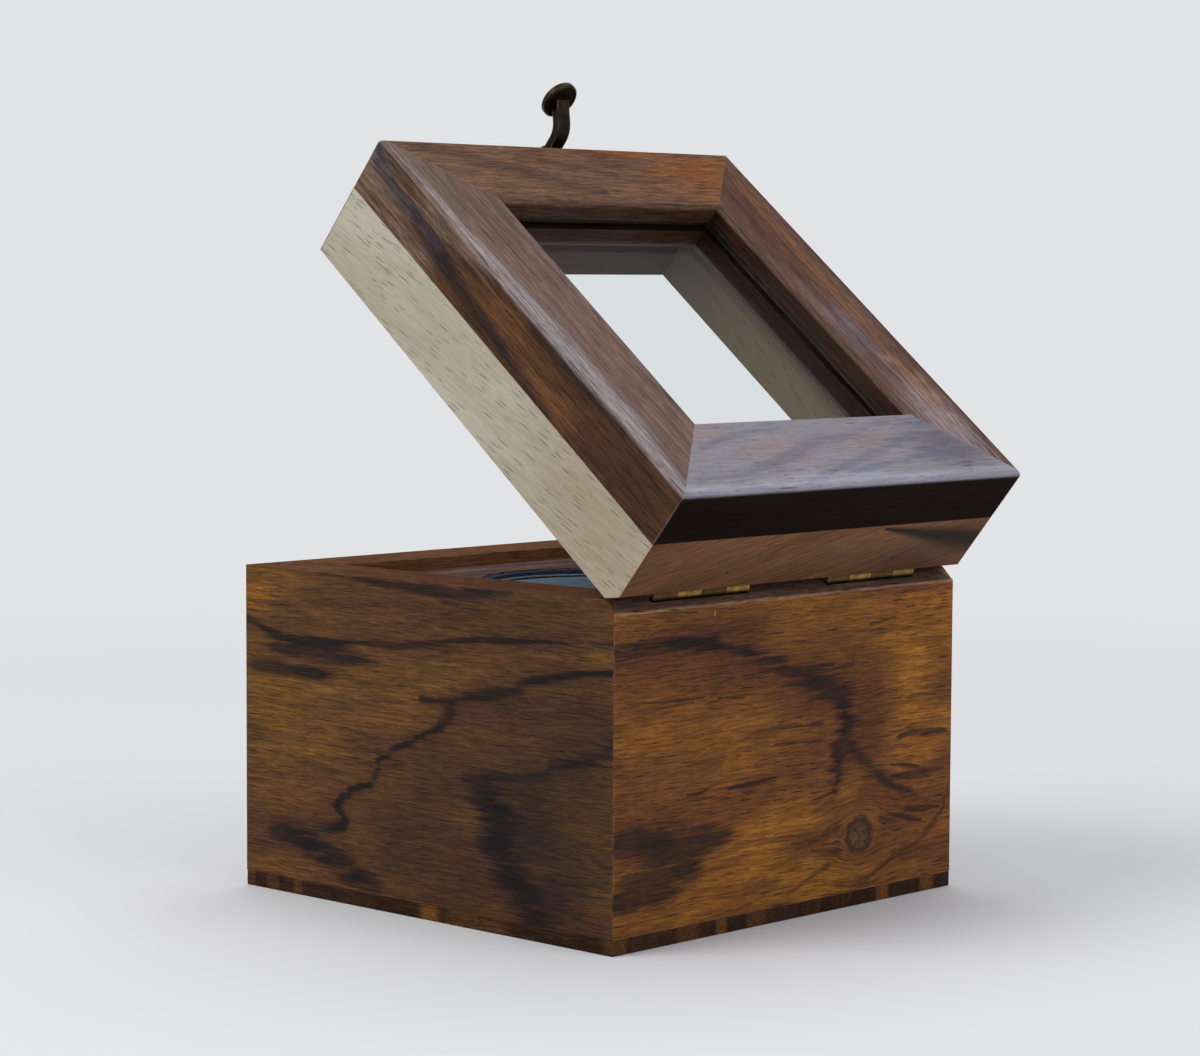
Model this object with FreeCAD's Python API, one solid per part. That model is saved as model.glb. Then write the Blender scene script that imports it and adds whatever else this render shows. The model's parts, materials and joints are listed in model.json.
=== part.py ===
import FreeCAD, Part
import math
import os

# Cylinder music box: a small wooden case with a glazed lid held open, and the movement under its deck.
# Millimetres. X runs along the hinge line, -Y is the front with the latch, +Y the hinge side, Z is up.
# The origin is the middle of the underside. The lid is drawn shut and then turned open about its hinge.

# Case
BOX_WIDTH = 100.0
BOX_DEPTH = 102.0
BOX_HEIGHT = 65.2
WALL_THICK = 14.0
BASE_THICK = 3.0
BACK_CHAMFER = 2.6

# Deck and its round felt well
DECK_DROP = 2.5
DECK_THICK = 4.0
DECK_PLAY = 0.15
LEDGE_WIDTH = 5.0
LEDGE_HEIGHT = 6.0
WELL_RADIUS = 23.8
WELL_PLAY = 0.1
WELL_WALL = 1.8
WELL_FLOOR = 1.5
WELL_DEPTH = 6.0
WELL_DROP = 0.4
PAD_DROP = 1.0
PAD_CROWN = 0.7
PAD_BULGE = 0.5
PAD_PLAY = 0.3
TRIM_WIRE = 0.3

# Lid
TRAY_HEIGHT = 15.5
TRAY_WALL = 8.0
RAIL_HEIGHT = 12.1
RAIL_WIDTH = 19.0
RAIL_EASE = 0.9
RAIL_ROUND = 1.3
LIP_CHAMFER = 1.4
GROOVE_DROP = 3.9
GROOVE_HEIGHT = 3.2
GROOVE_DEPTH = 3.0
GLASS_THICK = 2.0
GLASS_PLAY = 0.4
LID_GAP = 0.1
LID_OPEN = 39.3

# Butt hinges
HINGE_INSET = 2.4
HINGE_SPACING = 50.0
HINGE_LENGTH = 27.0
KNUCKLE_COUNT = 4
KNUCKLE_RADIUS = 1.4
KNUCKLE_GAP = 0.16
POCKET_PLAY = 0.35
LEAF_WIDTH = 5.0
LEAF_THICK = 0.9
HINGE_PIN_RADIUS = 0.7
HINGE_SCREW_SPREAD = 8.0
RUN_PLAY = 0.05

# How far a cutting shape runs past the face that it opens
OVERCUT = 1.0

# Swing hook on the lid and its stud on the case
LATCH_PLATE_WIDTH = 16.0
LATCH_PLATE_HEIGHT = 7.5
LATCH_PLATE_THICK = 1.0
LATCH_SCREW_REACH = 5.6
LATCH_PIVOT_RISE = 8.0
LATCH_PIVOT_RADIUS = 1.2
RIVET_HEAD_RADIUS = 2.2
RIVET_HEAD_THICK = 0.9
HOOK_PLAY = 0.15
HOOK_THICK = 1.6
HOOK_WIDTH = 3.4
HOOK_EYE_RADIUS = 3.3
HOOK_CLAW_REACH = 13.7
HOOK_CLAW_RADIUS = 4.2
HOOK_BEND_RADIUS = 5.0
HOOK_BEND = 45.0
HOOK_TIP_RUN = 4.2
BUTTON_RADIUS = 4.0
BUTTON_THICK = 1.9
BUTTON_DOME = 0.7
STUD_RADIUS = 1.2
STUD_PLAY = 0.25
STUD_HEAD_RADIUS = 2.2
STUD_HEAD_THICK = 0.9
STUD_DEPTH = 7.0

# Countersunk screws: head radius, shank radius, length
HINGE_SCREW = (1.3, 0.7, 6.5)
LATCH_SCREW = (1.5, 0.8, 6.0)
BED_SCREW = (2.8, 1.4, 6.2)
FOOT_SCREW = (1.4, 0.8, 3.6)
COMB_SCREW = (1.8, 1.0, 6.0)
SCREW_PLAY = 0.05
SCREW_SINK = 0.05
SCREW_SLOT = 0.4

# Winding key and the bush it turns in
KEY_BUSH_RADIUS = 3.6
KEY_FLANGE_RADIUS = 6.0
KEY_FLANGE_THICK = 1.0
KEY_GAP = 0.5
KEY_BOSS_RADIUS = 3.4
KEY_BOSS_LENGTH = 7.0
KEY_BOW_RADIUS = 6.5
KEY_BOW_HOLE = 3.4
KEY_BOW_REACH = 6.2
KEY_BOW_THICK = 2.6

# Bedplate and bearing plates
BED_THICK = 4.0
BED_MARGIN = 1.5
BED_SCREW_MARGIN = 6.0
PLATE_THICK = 2.0
PLATE_MARGIN = 2.5
PLATE_HALF = 5.0
PLATE_TRIM = 1.0
FOOT_LENGTH = 4.4
FOOT_THICK = 2.0
FOOT_SCREW_EDGE = 0.5
FLOOR_CLEAR = 2.5
END_PLAY = 0.5

# Gear train
MODULE = 0.5
BARREL_TEETH = 48
CYLINDER_PINION_TEETH = 16
CYLINDER_TEETH = 48
TRAIN_PINION_TEETH = 12
WORM_WHEEL_TEETH = 20
WORM_STARTS = 2
WHEEL_THICK = 2.0
PINION_EXTRA = 0.4
WORM_WHEEL_THICK = 3.0
WORM_PITCH_RADIUS = 1.7
WORM_LENGTH = 9.0
WORM_STEP = 20.0
TOOTH_TIP = 0.9
TOOTH_ROOT = 1.25
TOOTH_SHARE_ROOT = 0.27
TOOTH_SHARE_PITCH = 0.20
TOOTH_SHARE_TIP = 0.09

# Spring barrel, winding arbor and click
BARREL_LENGTH = 13.0
BARREL_RADIUS = 11.0
BARREL_WALL = 0.8
BARREL_COVER = 1.0
ARBOR_RADIUS = 2.0
ARBOR_HUB_RADIUS = 3.0
SPRING_TURNS = 6
SPRING_STRIP = 0.4
SPRING_PLAY = 0.35
RATCHET_TEETH = 24
RATCHET_TIP = 6.2
RATCHET_ROOT = 5.2
RATCHET_THICK = 1.4
CLICK_ANGLE = 120.0
CLICK_BACK = 55.0
CLICK_REACH = 10.0
CLICK_EYE = 1.9
CLICK_STUD = 1.0
CLICK_PLAY = 0.2
CLICK_TIP_PLAY = 0.3
CLICK_RISE = 1.0
CLICK_NOSE_SHARE = 0.9

# Pinned cylinder and comb
CYLINDER_RADIUS = 8.0
CYLINDER_WALL = 0.8
CYLINDER_CAP = 1.2
CYLINDER_ARBOR = 1.5
PIN_RADIUS = 0.25
PIN_HEIGHT = 0.8
PINS_PER_TRACK = 3
PIN_TURN = 0.381966
COMB_TEETH = 22
COMB_THICK = 1.2
COMB_SLOT = 0.35
COMB_CLEAR = 0.15
COMB_BASE_MARGIN = 2.0
COMB_HEEL = 5.55
COMB_BASS_LENGTH = 13.0
COMB_TREBLE_LENGTH = 8.0
COMB_SCREWS = 3

# Governor
TRAIN_ARBOR = 1.0
GOVERNOR_SHAFT = 0.8
GOVERNOR_HALF = 3.4
GOVERNOR_POST = 2.0
GOVERNOR_ARM = 2.0
GOVERNOR_ARM_CLEAR = 2.0
FAN_HUB = 1.4
FAN_RADIUS = 5.4
FAN_HEIGHT = 8.0
FAN_BLADE = 0.4
FAN_GAP = 1.2

# Places worked out from the sizes above
HALF_X = BOX_WIDTH / 2
HALF_Y = BOX_DEPTH / 2
CAVITY_X = HALF_X - WALL_THICK
CAVITY_Y = HALF_Y - WALL_THICK
DECK_TOP = BOX_HEIGHT - DECK_DROP
DECK_UNDER = DECK_TOP - DECK_THICK
LID_Z = BOX_HEIGHT + LID_GAP
RAIL_Z = LID_Z + TRAY_HEIGHT
LID_TOP = RAIL_Z + RAIL_HEIGHT
HINGE_Y = HALF_Y - HINGE_INSET
HINGE_Z = BOX_HEIGHT + LID_GAP / 2
POCKET_RADIUS = KNUCKLE_RADIUS + POCKET_PLAY
LATCH_Z = LID_Z + LATCH_PIVOT_RISE
STUD_Z = LATCH_Z - HOOK_CLAW_REACH
HOOK_INNER = LATCH_PLATE_THICK + HOOK_PLAY
HOOK_OUTER = HOOK_INNER + HOOK_THICK

BED_TOP = BASE_THICK + BED_THICK
BED_X = CAVITY_X - BED_MARGIN
BED_FRONT = -CAVITY_Y + BED_MARGIN
WHEEL_TIP = MODULE * (max(BARREL_TEETH, CYLINDER_TEETH) / 2 + TOOTH_TIP)
ARBOR_Z = BED_TOP + FLOOR_CLEAR + WHEEL_TIP
COMB_BACK = BED_FRONT + COMB_BASE_MARGIN
COMB_TIP = COMB_BACK + COMB_HEEL + COMB_BASS_LENGTH
CYLINDER_Y = COMB_TIP + COMB_CLEAR + PIN_HEIGHT + CYLINDER_RADIUS
BARREL_Y = CYLINDER_Y + MODULE * (BARREL_TEETH + CYLINDER_PINION_TEETH) / 2
TRAIN_Y = CYLINDER_Y + MODULE * (CYLINDER_TEETH + TRAIN_PINION_TEETH) / 2
WORM_WHEEL_RADIUS = MODULE * WORM_WHEEL_TEETH / 2
WORM_Y = TRAIN_Y + WORM_WHEEL_RADIUS + WORM_PITCH_RADIUS
WORM_LEAD = WORM_STARTS * math.pi * MODULE
WORM_TIP = WORM_PITCH_RADIUS + MODULE * TOOTH_TIP
POST_Y = WORM_Y + WORM_TIP + END_PLAY + GOVERNOR_POST / 2
BED_BACK = POST_Y + GOVERNOR_POST + FOOT_LENGTH

# Stations along the movement, from the winding side to the governor side
LEFT_PLATE_X = -CAVITY_X + PLATE_MARGIN
RATCHET_X = LEFT_PLATE_X + PLATE_THICK + END_PLAY
BARREL_X = RATCHET_X + RATCHET_THICK + END_PLAY
BARREL_WHEEL_X = BARREL_X + BARREL_LENGTH
BRIDGE_X = BARREL_WHEEL_X + WHEEL_THICK + END_PLAY
DRUM_X = BRIDGE_X + PLATE_THICK + END_PLAY
RIGHT_PLATE_X = CAVITY_X - PLATE_MARGIN - PLATE_THICK
WORM_WHEEL_X = RIGHT_PLATE_X - END_PLAY - WORM_WHEEL_THICK
WORM_X = WORM_WHEEL_X + WORM_WHEEL_THICK / 2
CYLINDER_WHEEL_X = WORM_WHEEL_X - END_PLAY - PINION_EXTRA - WHEEL_THICK
DRUM_END = CYLINDER_WHEEL_X - END_PLAY
TRAIN_POST_X = CYLINDER_WHEEL_X - PINION_EXTRA - END_PLAY - PLATE_THICK

nodes = {}


# Basic shapes

def box(x0, x1, y0, y1, z0, z1):
    return Part.makeBox(x1 - x0, y1 - y0, z1 - z0, FreeCAD.Vector(x0, y0, z0))


def rod_x(x0, x1, y, z, radius):
    return Part.makeCylinder(radius, x1 - x0, FreeCAD.Vector(x0, y, z), FreeCAD.Vector(1, 0, 0))


def rod_y(x, y0, y1, z, radius):
    return Part.makeCylinder(radius, y1 - y0, FreeCAD.Vector(x, y0, z), FreeCAD.Vector(0, 1, 0))


def rod_z(x, y, z0, z1, radius):
    return Part.makeCylinder(radius, z1 - z0, FreeCAD.Vector(x, y, z0))


def polygon(points):
    corners = [FreeCAD.Vector(*point) for point in points]
    return Part.Face(Part.makePolygon(corners + corners[:1]))


def prism_x(points_yz, x0, x1):
    return polygon([(x0, y, z) for y, z in points_yz]).extrude(FreeCAD.Vector(x1 - x0, 0, 0))


def prism_z(points_xy, z0, z1):
    return polygon([(x, y, z0) for x, y in points_xy]).extrude(FreeCAD.Vector(0, 0, z1 - z0))


def turned(profile, centre, axis):
    """A solid of revolution from (radius, height) points, standing at centre along axis."""
    face = polygon([(radius, 0, height) for radius, height in profile])
    solid = face.revolve(FreeCAD.Vector(), FreeCAD.Vector(0, 0, 1), 360)
    turn = FreeCAD.Rotation(FreeCAD.Vector(0, 0, 1), FreeCAD.Vector(*axis))
    solid.Placement = FreeCAD.Placement(FreeCAD.Vector(*centre), turn)
    return solid


def joined(shapes):
    return shapes[0].fuse(shapes[1:]).removeSplitter()


def group(shapes):
    return Part.makeCompound(shapes)


def polar(radius, degrees, y=0.0, z=0.0):
    angle = math.radians(degrees)
    return (y + radius * math.cos(angle), z + radius * math.sin(angle))


def tube_x(x0, x1, y, z, outer, inner):
    return rod_x(x0, x1, y, z, outer).cut(rod_x(x0, x1, y, z, inner))


# Screws: the axis points out of the head

def screw(size, head, axis):
    radius, shank, length = size
    cone = radius - shank
    profile = [(0, 0), (radius, 0), (shank, -cone), (shank, shank - length), (0, -length)]
    solid = turned(profile, head, axis)
    corner = FreeCAD.Vector(-radius, -SCREW_SLOT / 2, -SCREW_SLOT)
    slot = Part.makeBox(2 * radius, SCREW_SLOT, 2 * SCREW_SLOT, corner)
    turn = FreeCAD.Rotation(FreeCAD.Vector(0, 0, 1), FreeCAD.Vector(*axis))
    slot.Placement = FreeCAD.Placement(FreeCAD.Vector(*head), turn)
    return solid.cut(slot)


def screw_hole(size, head, axis):
    radius, shank, length = size
    wide = shank + SCREW_PLAY
    sink = SCREW_SINK + SCREW_PLAY
    cone = radius - shank
    end = -length - SCREW_PLAY
    profile = [(0, sink), (radius + sink, sink), (wide, -cone), (wide, end), (0, end)]
    return turned(profile, head, axis)


# Boards of the case and the lid

def mitred_board(side, half_x, half_y, width, z0, z1):
    """One board of a rectangular frame, cut at 45 degrees at both ends."""
    in_x = half_x - width
    in_y = half_y - width
    plans = {
        "back": [(-half_x, half_y), (half_x, half_y), (in_x, in_y), (-in_x, in_y)],
        "front": [(half_x, -half_y), (-half_x, -half_y), (-in_x, -in_y), (in_x, -in_y)],
        "right": [(half_x, half_y), (half_x, -half_y), (in_x, -in_y), (in_x, in_y)],
        "left": [(-half_x, -half_y), (-half_x, half_y), (-in_x, in_y), (-in_x, -in_y)],
    }
    return prism_z(plans[side], z0, z1)


def back_bevel(z_edge, away):
    """Waste of the chamfer along the hinge-side edge at height z_edge, away = 1 above it or -1 below it."""
    reach = BACK_CHAMFER + OVERCUT
    near = HALF_Y - BACK_CHAMFER
    far = near + reach
    past = z_edge + away * OVERCUT
    points = [(near, z_edge), (far, z_edge - away * reach), (far, past), (near, past)]
    return prism_x(points, -HALF_X - OVERCUT, HALF_X + OVERCUT)


def hinge_centres():
    return (-HINGE_SPACING / 2, HINGE_SPACING / 2)


def leaf_plate(centre, z0):
    half = HINGE_LENGTH / 2
    return box(centre - half, centre + half, HINGE_Y - LEAF_WIDTH, HINGE_Y, z0, z0 + LEAF_THICK)


def hinge_recess(z0):
    """Waste cut from the wood for the leaves at height z0 and for the knuckles."""
    half = HINGE_LENGTH / 2 + KNUCKLE_GAP
    waste = []
    for centre in hinge_centres():
        waste.append(leaf_plate(centre, z0))
        waste.append(rod_x(centre - half, centre + half, HINGE_Y, HINGE_Z, POCKET_RADIUS))
    return waste


def hinge_screw_heads(z):
    y = HINGE_Y - (POCKET_RADIUS + LEAF_WIDTH) / 2
    return [(centre + side * HINGE_SCREW_SPREAD, y, z) for centre in hinge_centres() for side in (-1, 1)]


def latch_screw_heads(z):
    y = -HALF_Y - LATCH_PLATE_THICK + SCREW_SINK
    return [(side * LATCH_SCREW_REACH, y, z) for side in (-1, 1)]


def pin_hole(z, radius):
    """Hole in a front board for the latch's pivot or its stud."""
    return rod_y(0, -HALF_Y - OVERCUT, -HALF_Y + STUD_DEPTH, z, radius + SCREW_PLAY)


FRONT = (0, -1, 0)
UP = (0, 0, 1)
DOWN = (0, 0, -1)


def make_case():
    walls = {}
    for side in ("front", "back", "left", "right"):
        walls[side] = mitred_board(side, HALF_X, HALF_Y, WALL_THICK, BASE_THICK, BOX_HEIGHT)
    for side in ("back", "left", "right"):
        walls[side] = walls[side].cut(back_bevel(BOX_HEIGHT, 1))
    heads = hinge_screw_heads(BOX_HEIGHT - SCREW_SINK)
    holes = [screw_hole(HINGE_SCREW, head, UP) for head in heads]
    walls["back"] = walls["back"].cut(hinge_recess(BOX_HEIGHT - LEAF_THICK) + holes)
    catch_holes = [screw_hole(LATCH_SCREW, head, FRONT) for head in latch_screw_heads(STUD_Z)]
    catch_holes.append(pin_hole(STUD_Z, STUD_RADIUS))
    walls["front"] = walls["front"].cut(catch_holes)
    bush_hole = rod_x(-HALF_X - OVERCUT, -CAVITY_X + OVERCUT, BARREL_Y, ARBOR_Z, KEY_BUSH_RADIUS)
    walls["left"] = walls["left"].cut(bush_hole)
    for side, wall in walls.items():
        nodes[side + "_wall"] = wall

    base = box(-HALF_X, HALF_X, -HALF_Y, HALF_Y, 0, BASE_THICK)
    nodes["base_plate"] = base.cut([screw_hole(BED_SCREW, head, DOWN) for head in bed_screw_heads()])


def make_deck():
    half_x = CAVITY_X - DECK_PLAY
    half_y = CAVITY_Y - DECK_PLAY
    deck = box(-half_x, half_x, -half_y, half_y, DECK_UNDER, DECK_TOP)
    nodes["deck_panel"] = deck.cut(rod_z(0, 0, DECK_UNDER - OVERCUT, DECK_TOP + OVERCUT, WELL_RADIUS))
    ledges = []
    for y0 in (-CAVITY_Y, CAVITY_Y - LEDGE_WIDTH):
        ledges.append(box(-CAVITY_X, CAVITY_X, y0, y0 + LEDGE_WIDTH, DECK_UNDER - LEDGE_HEIGHT, DECK_UNDER))
    nodes["deck_ledges"] = group(ledges)

    outer = WELL_RADIUS - WELL_PLAY
    inner = outer - WELL_WALL
    bottom = DECK_TOP - WELL_DROP - WELL_DEPTH
    floor = bottom + WELL_FLOOR
    cup = rod_z(0, 0, bottom, DECK_TOP - WELL_DROP, outer)
    nodes["well_cup"] = cup.cut(rod_z(0, 0, floor, DECK_TOP, inner))

    radius = inner - PAD_PLAY
    top = DECK_TOP - PAD_DROP
    shoulder = top - PAD_CROWN
    middle = (floor + shoulder) / 2
    waist = radius - PAD_BULGE
    ball = (waist ** 2 + PAD_CROWN ** 2) / (2 * PAD_CROWN)
    lean = math.asin(waist / ball) / 2
    axis_foot = FreeCAD.Vector(0, 0, floor)
    axis_top = FreeCAD.Vector(0, 0, top)
    foot = FreeCAD.Vector(waist, 0, floor)
    neck = FreeCAD.Vector(waist, 0, shoulder)
    half_way = FreeCAD.Vector(ball * math.sin(lean), 0, top - ball * (1 - math.cos(lean)))
    crown = Part.Arc(neck, half_way, axis_top).toShape()
    bulge = Part.Arc(foot, FreeCAD.Vector(radius, 0, middle), neck).toShape()
    edges = [Part.makeLine(axis_foot, foot), bulge, crown, Part.makeLine(axis_top, axis_foot)]
    pad = Part.Face(Part.Wire(edges)).revolve(FreeCAD.Vector(), FreeCAD.Vector(*UP), 360)
    nodes["well_pad"] = pad

    trim_radius = inner - TRIM_WIRE
    trim_z = shoulder + TRIM_WIRE
    nodes["well_trim_ring"] = Part.makeTorus(trim_radius, TRIM_WIRE, FreeCAD.Vector(0, 0, trim_z))


def rail_section(place):
    """Face of the rail's section. place turns distance in from the outer face and height into a point."""
    groove_top = RAIL_HEIGHT - GROOVE_DROP
    groove_foot = groove_top - GROOVE_HEIGHT
    deep = RAIL_WIDTH - GROOVE_DEPTH
    corners = [
        (RAIL_ROUND, RAIL_HEIGHT), (RAIL_WIDTH - RAIL_EASE, RAIL_HEIGHT),
        (RAIL_WIDTH, RAIL_HEIGHT - RAIL_EASE), (RAIL_WIDTH, groove_top), (deep, groove_top),
        (deep, groove_foot), (RAIL_WIDTH, groove_foot), (RAIL_WIDTH, LIP_CHAMFER),
        (RAIL_WIDTH - LIP_CHAMFER, 0), (0, 0), (0, RAIL_HEIGHT - RAIL_ROUND),
    ]
    points = [place(*corner) for corner in corners]
    edges = [Part.makeLine(near, far) for near, far in zip(points, points[1:])]
    inward = RAIL_ROUND * (1 - math.sqrt(0.5))
    edges.append(Part.Arc(points[-1], place(inward, RAIL_HEIGHT - inward), points[0]).toShape())
    return Part.Face(Part.Wire(edges))


def lid_rail(side):
    sign = 1 if side in ("back", "right") else -1
    along_x = side in ("back", "front")

    def place(run, rise):
        if along_x:
            return FreeCAD.Vector(-HALF_X, sign * (HALF_Y - run), RAIL_Z + rise)
        return FreeCAD.Vector(sign * (HALF_X - run), -HALF_Y, RAIL_Z + rise)

    length = FreeCAD.Vector(BOX_WIDTH, 0, 0) if along_x else FreeCAD.Vector(0, BOX_DEPTH, 0)
    bar = rail_section(place).extrude(length)
    return bar.common(mitred_board(side, HALF_X, HALF_Y, RAIL_WIDTH, RAIL_Z - OVERCUT, LID_TOP + OVERCUT))


def make_lid():
    boards = {}
    for side in ("front", "back", "left", "right"):
        boards[side] = mitred_board(side, HALF_X, HALF_Y, TRAY_WALL, LID_Z, RAIL_Z)
        nodes["lid_rail_" + side] = lid_rail(side)
    for side in ("back", "left", "right"):
        boards[side] = boards[side].cut(back_bevel(LID_Z, -1))
    holes = [screw_hole(HINGE_SCREW, head, DOWN) for head in hinge_screw_heads(LID_Z + SCREW_SINK)]
    boards["back"] = boards["back"].cut(hinge_recess(LID_Z) + holes)
    latch_holes = [screw_hole(LATCH_SCREW, head, FRONT) for head in latch_screw_heads(LATCH_Z)]
    latch_holes.append(pin_hole(LATCH_Z, LATCH_PIVOT_RADIUS))
    boards["front"] = boards["front"].cut(latch_holes)
    for side, board in boards.items():
        nodes["lid_tray_" + side] = board

    reach = RAIL_WIDTH - GROOVE_DEPTH + GLASS_PLAY
    glass_z = RAIL_Z + RAIL_HEIGHT - GROOVE_DROP - GROOVE_HEIGHT
    half_x = HALF_X - reach
    half_y = HALF_Y - reach
    nodes["lid_glass"] = box(-half_x, half_x, -half_y, half_y, glass_z, glass_z + GLASS_THICK)


# Hinges

def knuckle_spans(centre, first):
    """Spans along X of every other knuckle, from the first one counted."""
    pitch = HINGE_LENGTH / KNUCKLE_COUNT
    start = centre - HINGE_LENGTH / 2
    spans = []
    for index in range(first, KNUCKLE_COUNT, 2):
        spans.append((start + index * pitch, start + (index + 1) * pitch))
    return spans


def hinge_leaf(centre, z0, first, screw_axis, head_z):
    shapes = [leaf_plate(centre, z0)]
    for x0, x1 in knuckle_spans(centre, first):
        shapes.append(rod_x(x0 + KNUCKLE_GAP / 2, x1 - KNUCKLE_GAP / 2, HINGE_Y, HINGE_Z, KNUCKLE_RADIUS))
    leaf = joined(shapes)
    waste = []
    for x0, x1 in knuckle_spans(centre, 1 - first):
        waste.append(rod_x(x0 - KNUCKLE_GAP / 2, x1 + KNUCKLE_GAP / 2, HINGE_Y, HINGE_Z, POCKET_RADIUS))
    half = HINGE_LENGTH / 2 + OVERCUT
    waste.append(rod_x(centre - half, centre + half, HINGE_Y, HINGE_Z, HINGE_PIN_RADIUS + RUN_PLAY))
    for head in hinge_screw_heads(head_z):
        waste.append(screw_hole(HINGE_SCREW, head, screw_axis))
    return leaf.cut(waste)


def make_hinges():
    case_leaves = []
    lid_leaves = []
    pins = []
    half = HINGE_LENGTH / 2
    for centre in hinge_centres():
        case_leaves.append(hinge_leaf(centre, BOX_HEIGHT - LEAF_THICK, 0, UP, BOX_HEIGHT - SCREW_SINK))
        lid_leaves.append(hinge_leaf(centre, LID_Z, 1, DOWN, LID_Z + SCREW_SINK))
        pins.append(rod_x(centre - half, centre + half, HINGE_Y, HINGE_Z, HINGE_PIN_RADIUS))
    nodes["hinge_leaves_case"] = group(case_leaves)
    nodes["hinge_leaves_lid"] = group(lid_leaves)
    nodes["hinge_pins"] = group(pins)
    case_heads = hinge_screw_heads(BOX_HEIGHT - SCREW_SINK)
    lid_heads = hinge_screw_heads(LID_Z + SCREW_SINK)
    nodes["hinge_screws_case"] = group([screw(HINGE_SCREW, head, UP) for head in case_heads])
    nodes["hinge_screws_lid"] = group([screw(HINGE_SCREW, head, DOWN) for head in lid_heads])


# Latch

def oval_plate(z, bore):
    half = (LATCH_PLATE_WIDTH - LATCH_PLATE_HEIGHT) / 2
    radius = LATCH_PLATE_HEIGHT / 2
    y0 = -HALF_Y - LATCH_PLATE_THICK
    y1 = -HALF_Y
    plate = joined([
        box(-half, half, y0, y1, z - radius, z + radius),
        rod_y(-half, y0, y1, z, radius),
        rod_y(half, y0, y1, z, radius),
    ])
    waste = [screw_hole(LATCH_SCREW, head, FRONT) for head in latch_screw_heads(z)]
    waste.append(rod_y(0, y0 - OVERCUT, y1 + OVERCUT, z, bore + SCREW_PLAY))
    return plate.cut(waste)


def headed_pin(z, radius, head_radius, head_thick, inner):
    """A pin set in the front face with its head starting at distance inner from that face."""
    under = STUD_DEPTH + inner
    end = under + head_thick
    rim = (under + end) / 2
    profile = [
        (0, 0), (radius, 0), (radius, under), (head_radius, under),
        (head_radius, rim), (radius, end), (0, end),
    ]
    return turned(profile, (0, -HALF_Y + STUD_DEPTH, z), FRONT)


def hook_arm():
    """The flat bar of the hook, bent outward at its tip, and the place of that tip."""
    middle = HOOK_INNER + HOOK_THICK / 2
    bend = math.radians(HOOK_BEND)
    bend_z = LID_TOP
    centre_run = middle + HOOK_BEND_RADIUS

    def at(radius, angle, run=0.0):
        along = centre_run - radius * math.cos(angle) + run * math.sin(angle)
        rise = bend_z + radius * math.sin(angle) + run * math.cos(angle)
        return FreeCAD.Vector(-HOOK_WIDTH / 2, -HALF_Y - along, rise)

    far = HOOK_BEND_RADIUS + HOOK_THICK / 2
    near = HOOK_BEND_RADIUS - HOOK_THICK / 2
    foot_in = FreeCAD.Vector(-HOOK_WIDTH / 2, -HALF_Y - HOOK_INNER, LATCH_Z)
    foot_out = FreeCAD.Vector(-HOOK_WIDTH / 2, -HALF_Y - HOOK_OUTER, LATCH_Z)
    edges = [
        Part.makeLine(foot_in, at(far, 0)),
        Part.Arc(at(far, 0), at(far, bend / 2), at(far, bend)).toShape(),
        Part.makeLine(at(far, bend), at(far, bend, HOOK_TIP_RUN)),
        Part.makeLine(at(far, bend, HOOK_TIP_RUN), at(near, bend, HOOK_TIP_RUN)),
        Part.makeLine(at(near, bend, HOOK_TIP_RUN), at(near, bend)),
        Part.Arc(at(near, bend), at(near, bend / 2), at(near, 0)).toShape(),
        Part.makeLine(at(near, 0), foot_out),
        Part.makeLine(foot_out, foot_in),
    ]
    arm = Part.Face(Part.Wire(edges)).extrude(FreeCAD.Vector(HOOK_WIDTH, 0, 0))
    tip = at(HOOK_BEND_RADIUS, bend, HOOK_TIP_RUN)
    return arm, tip


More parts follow.
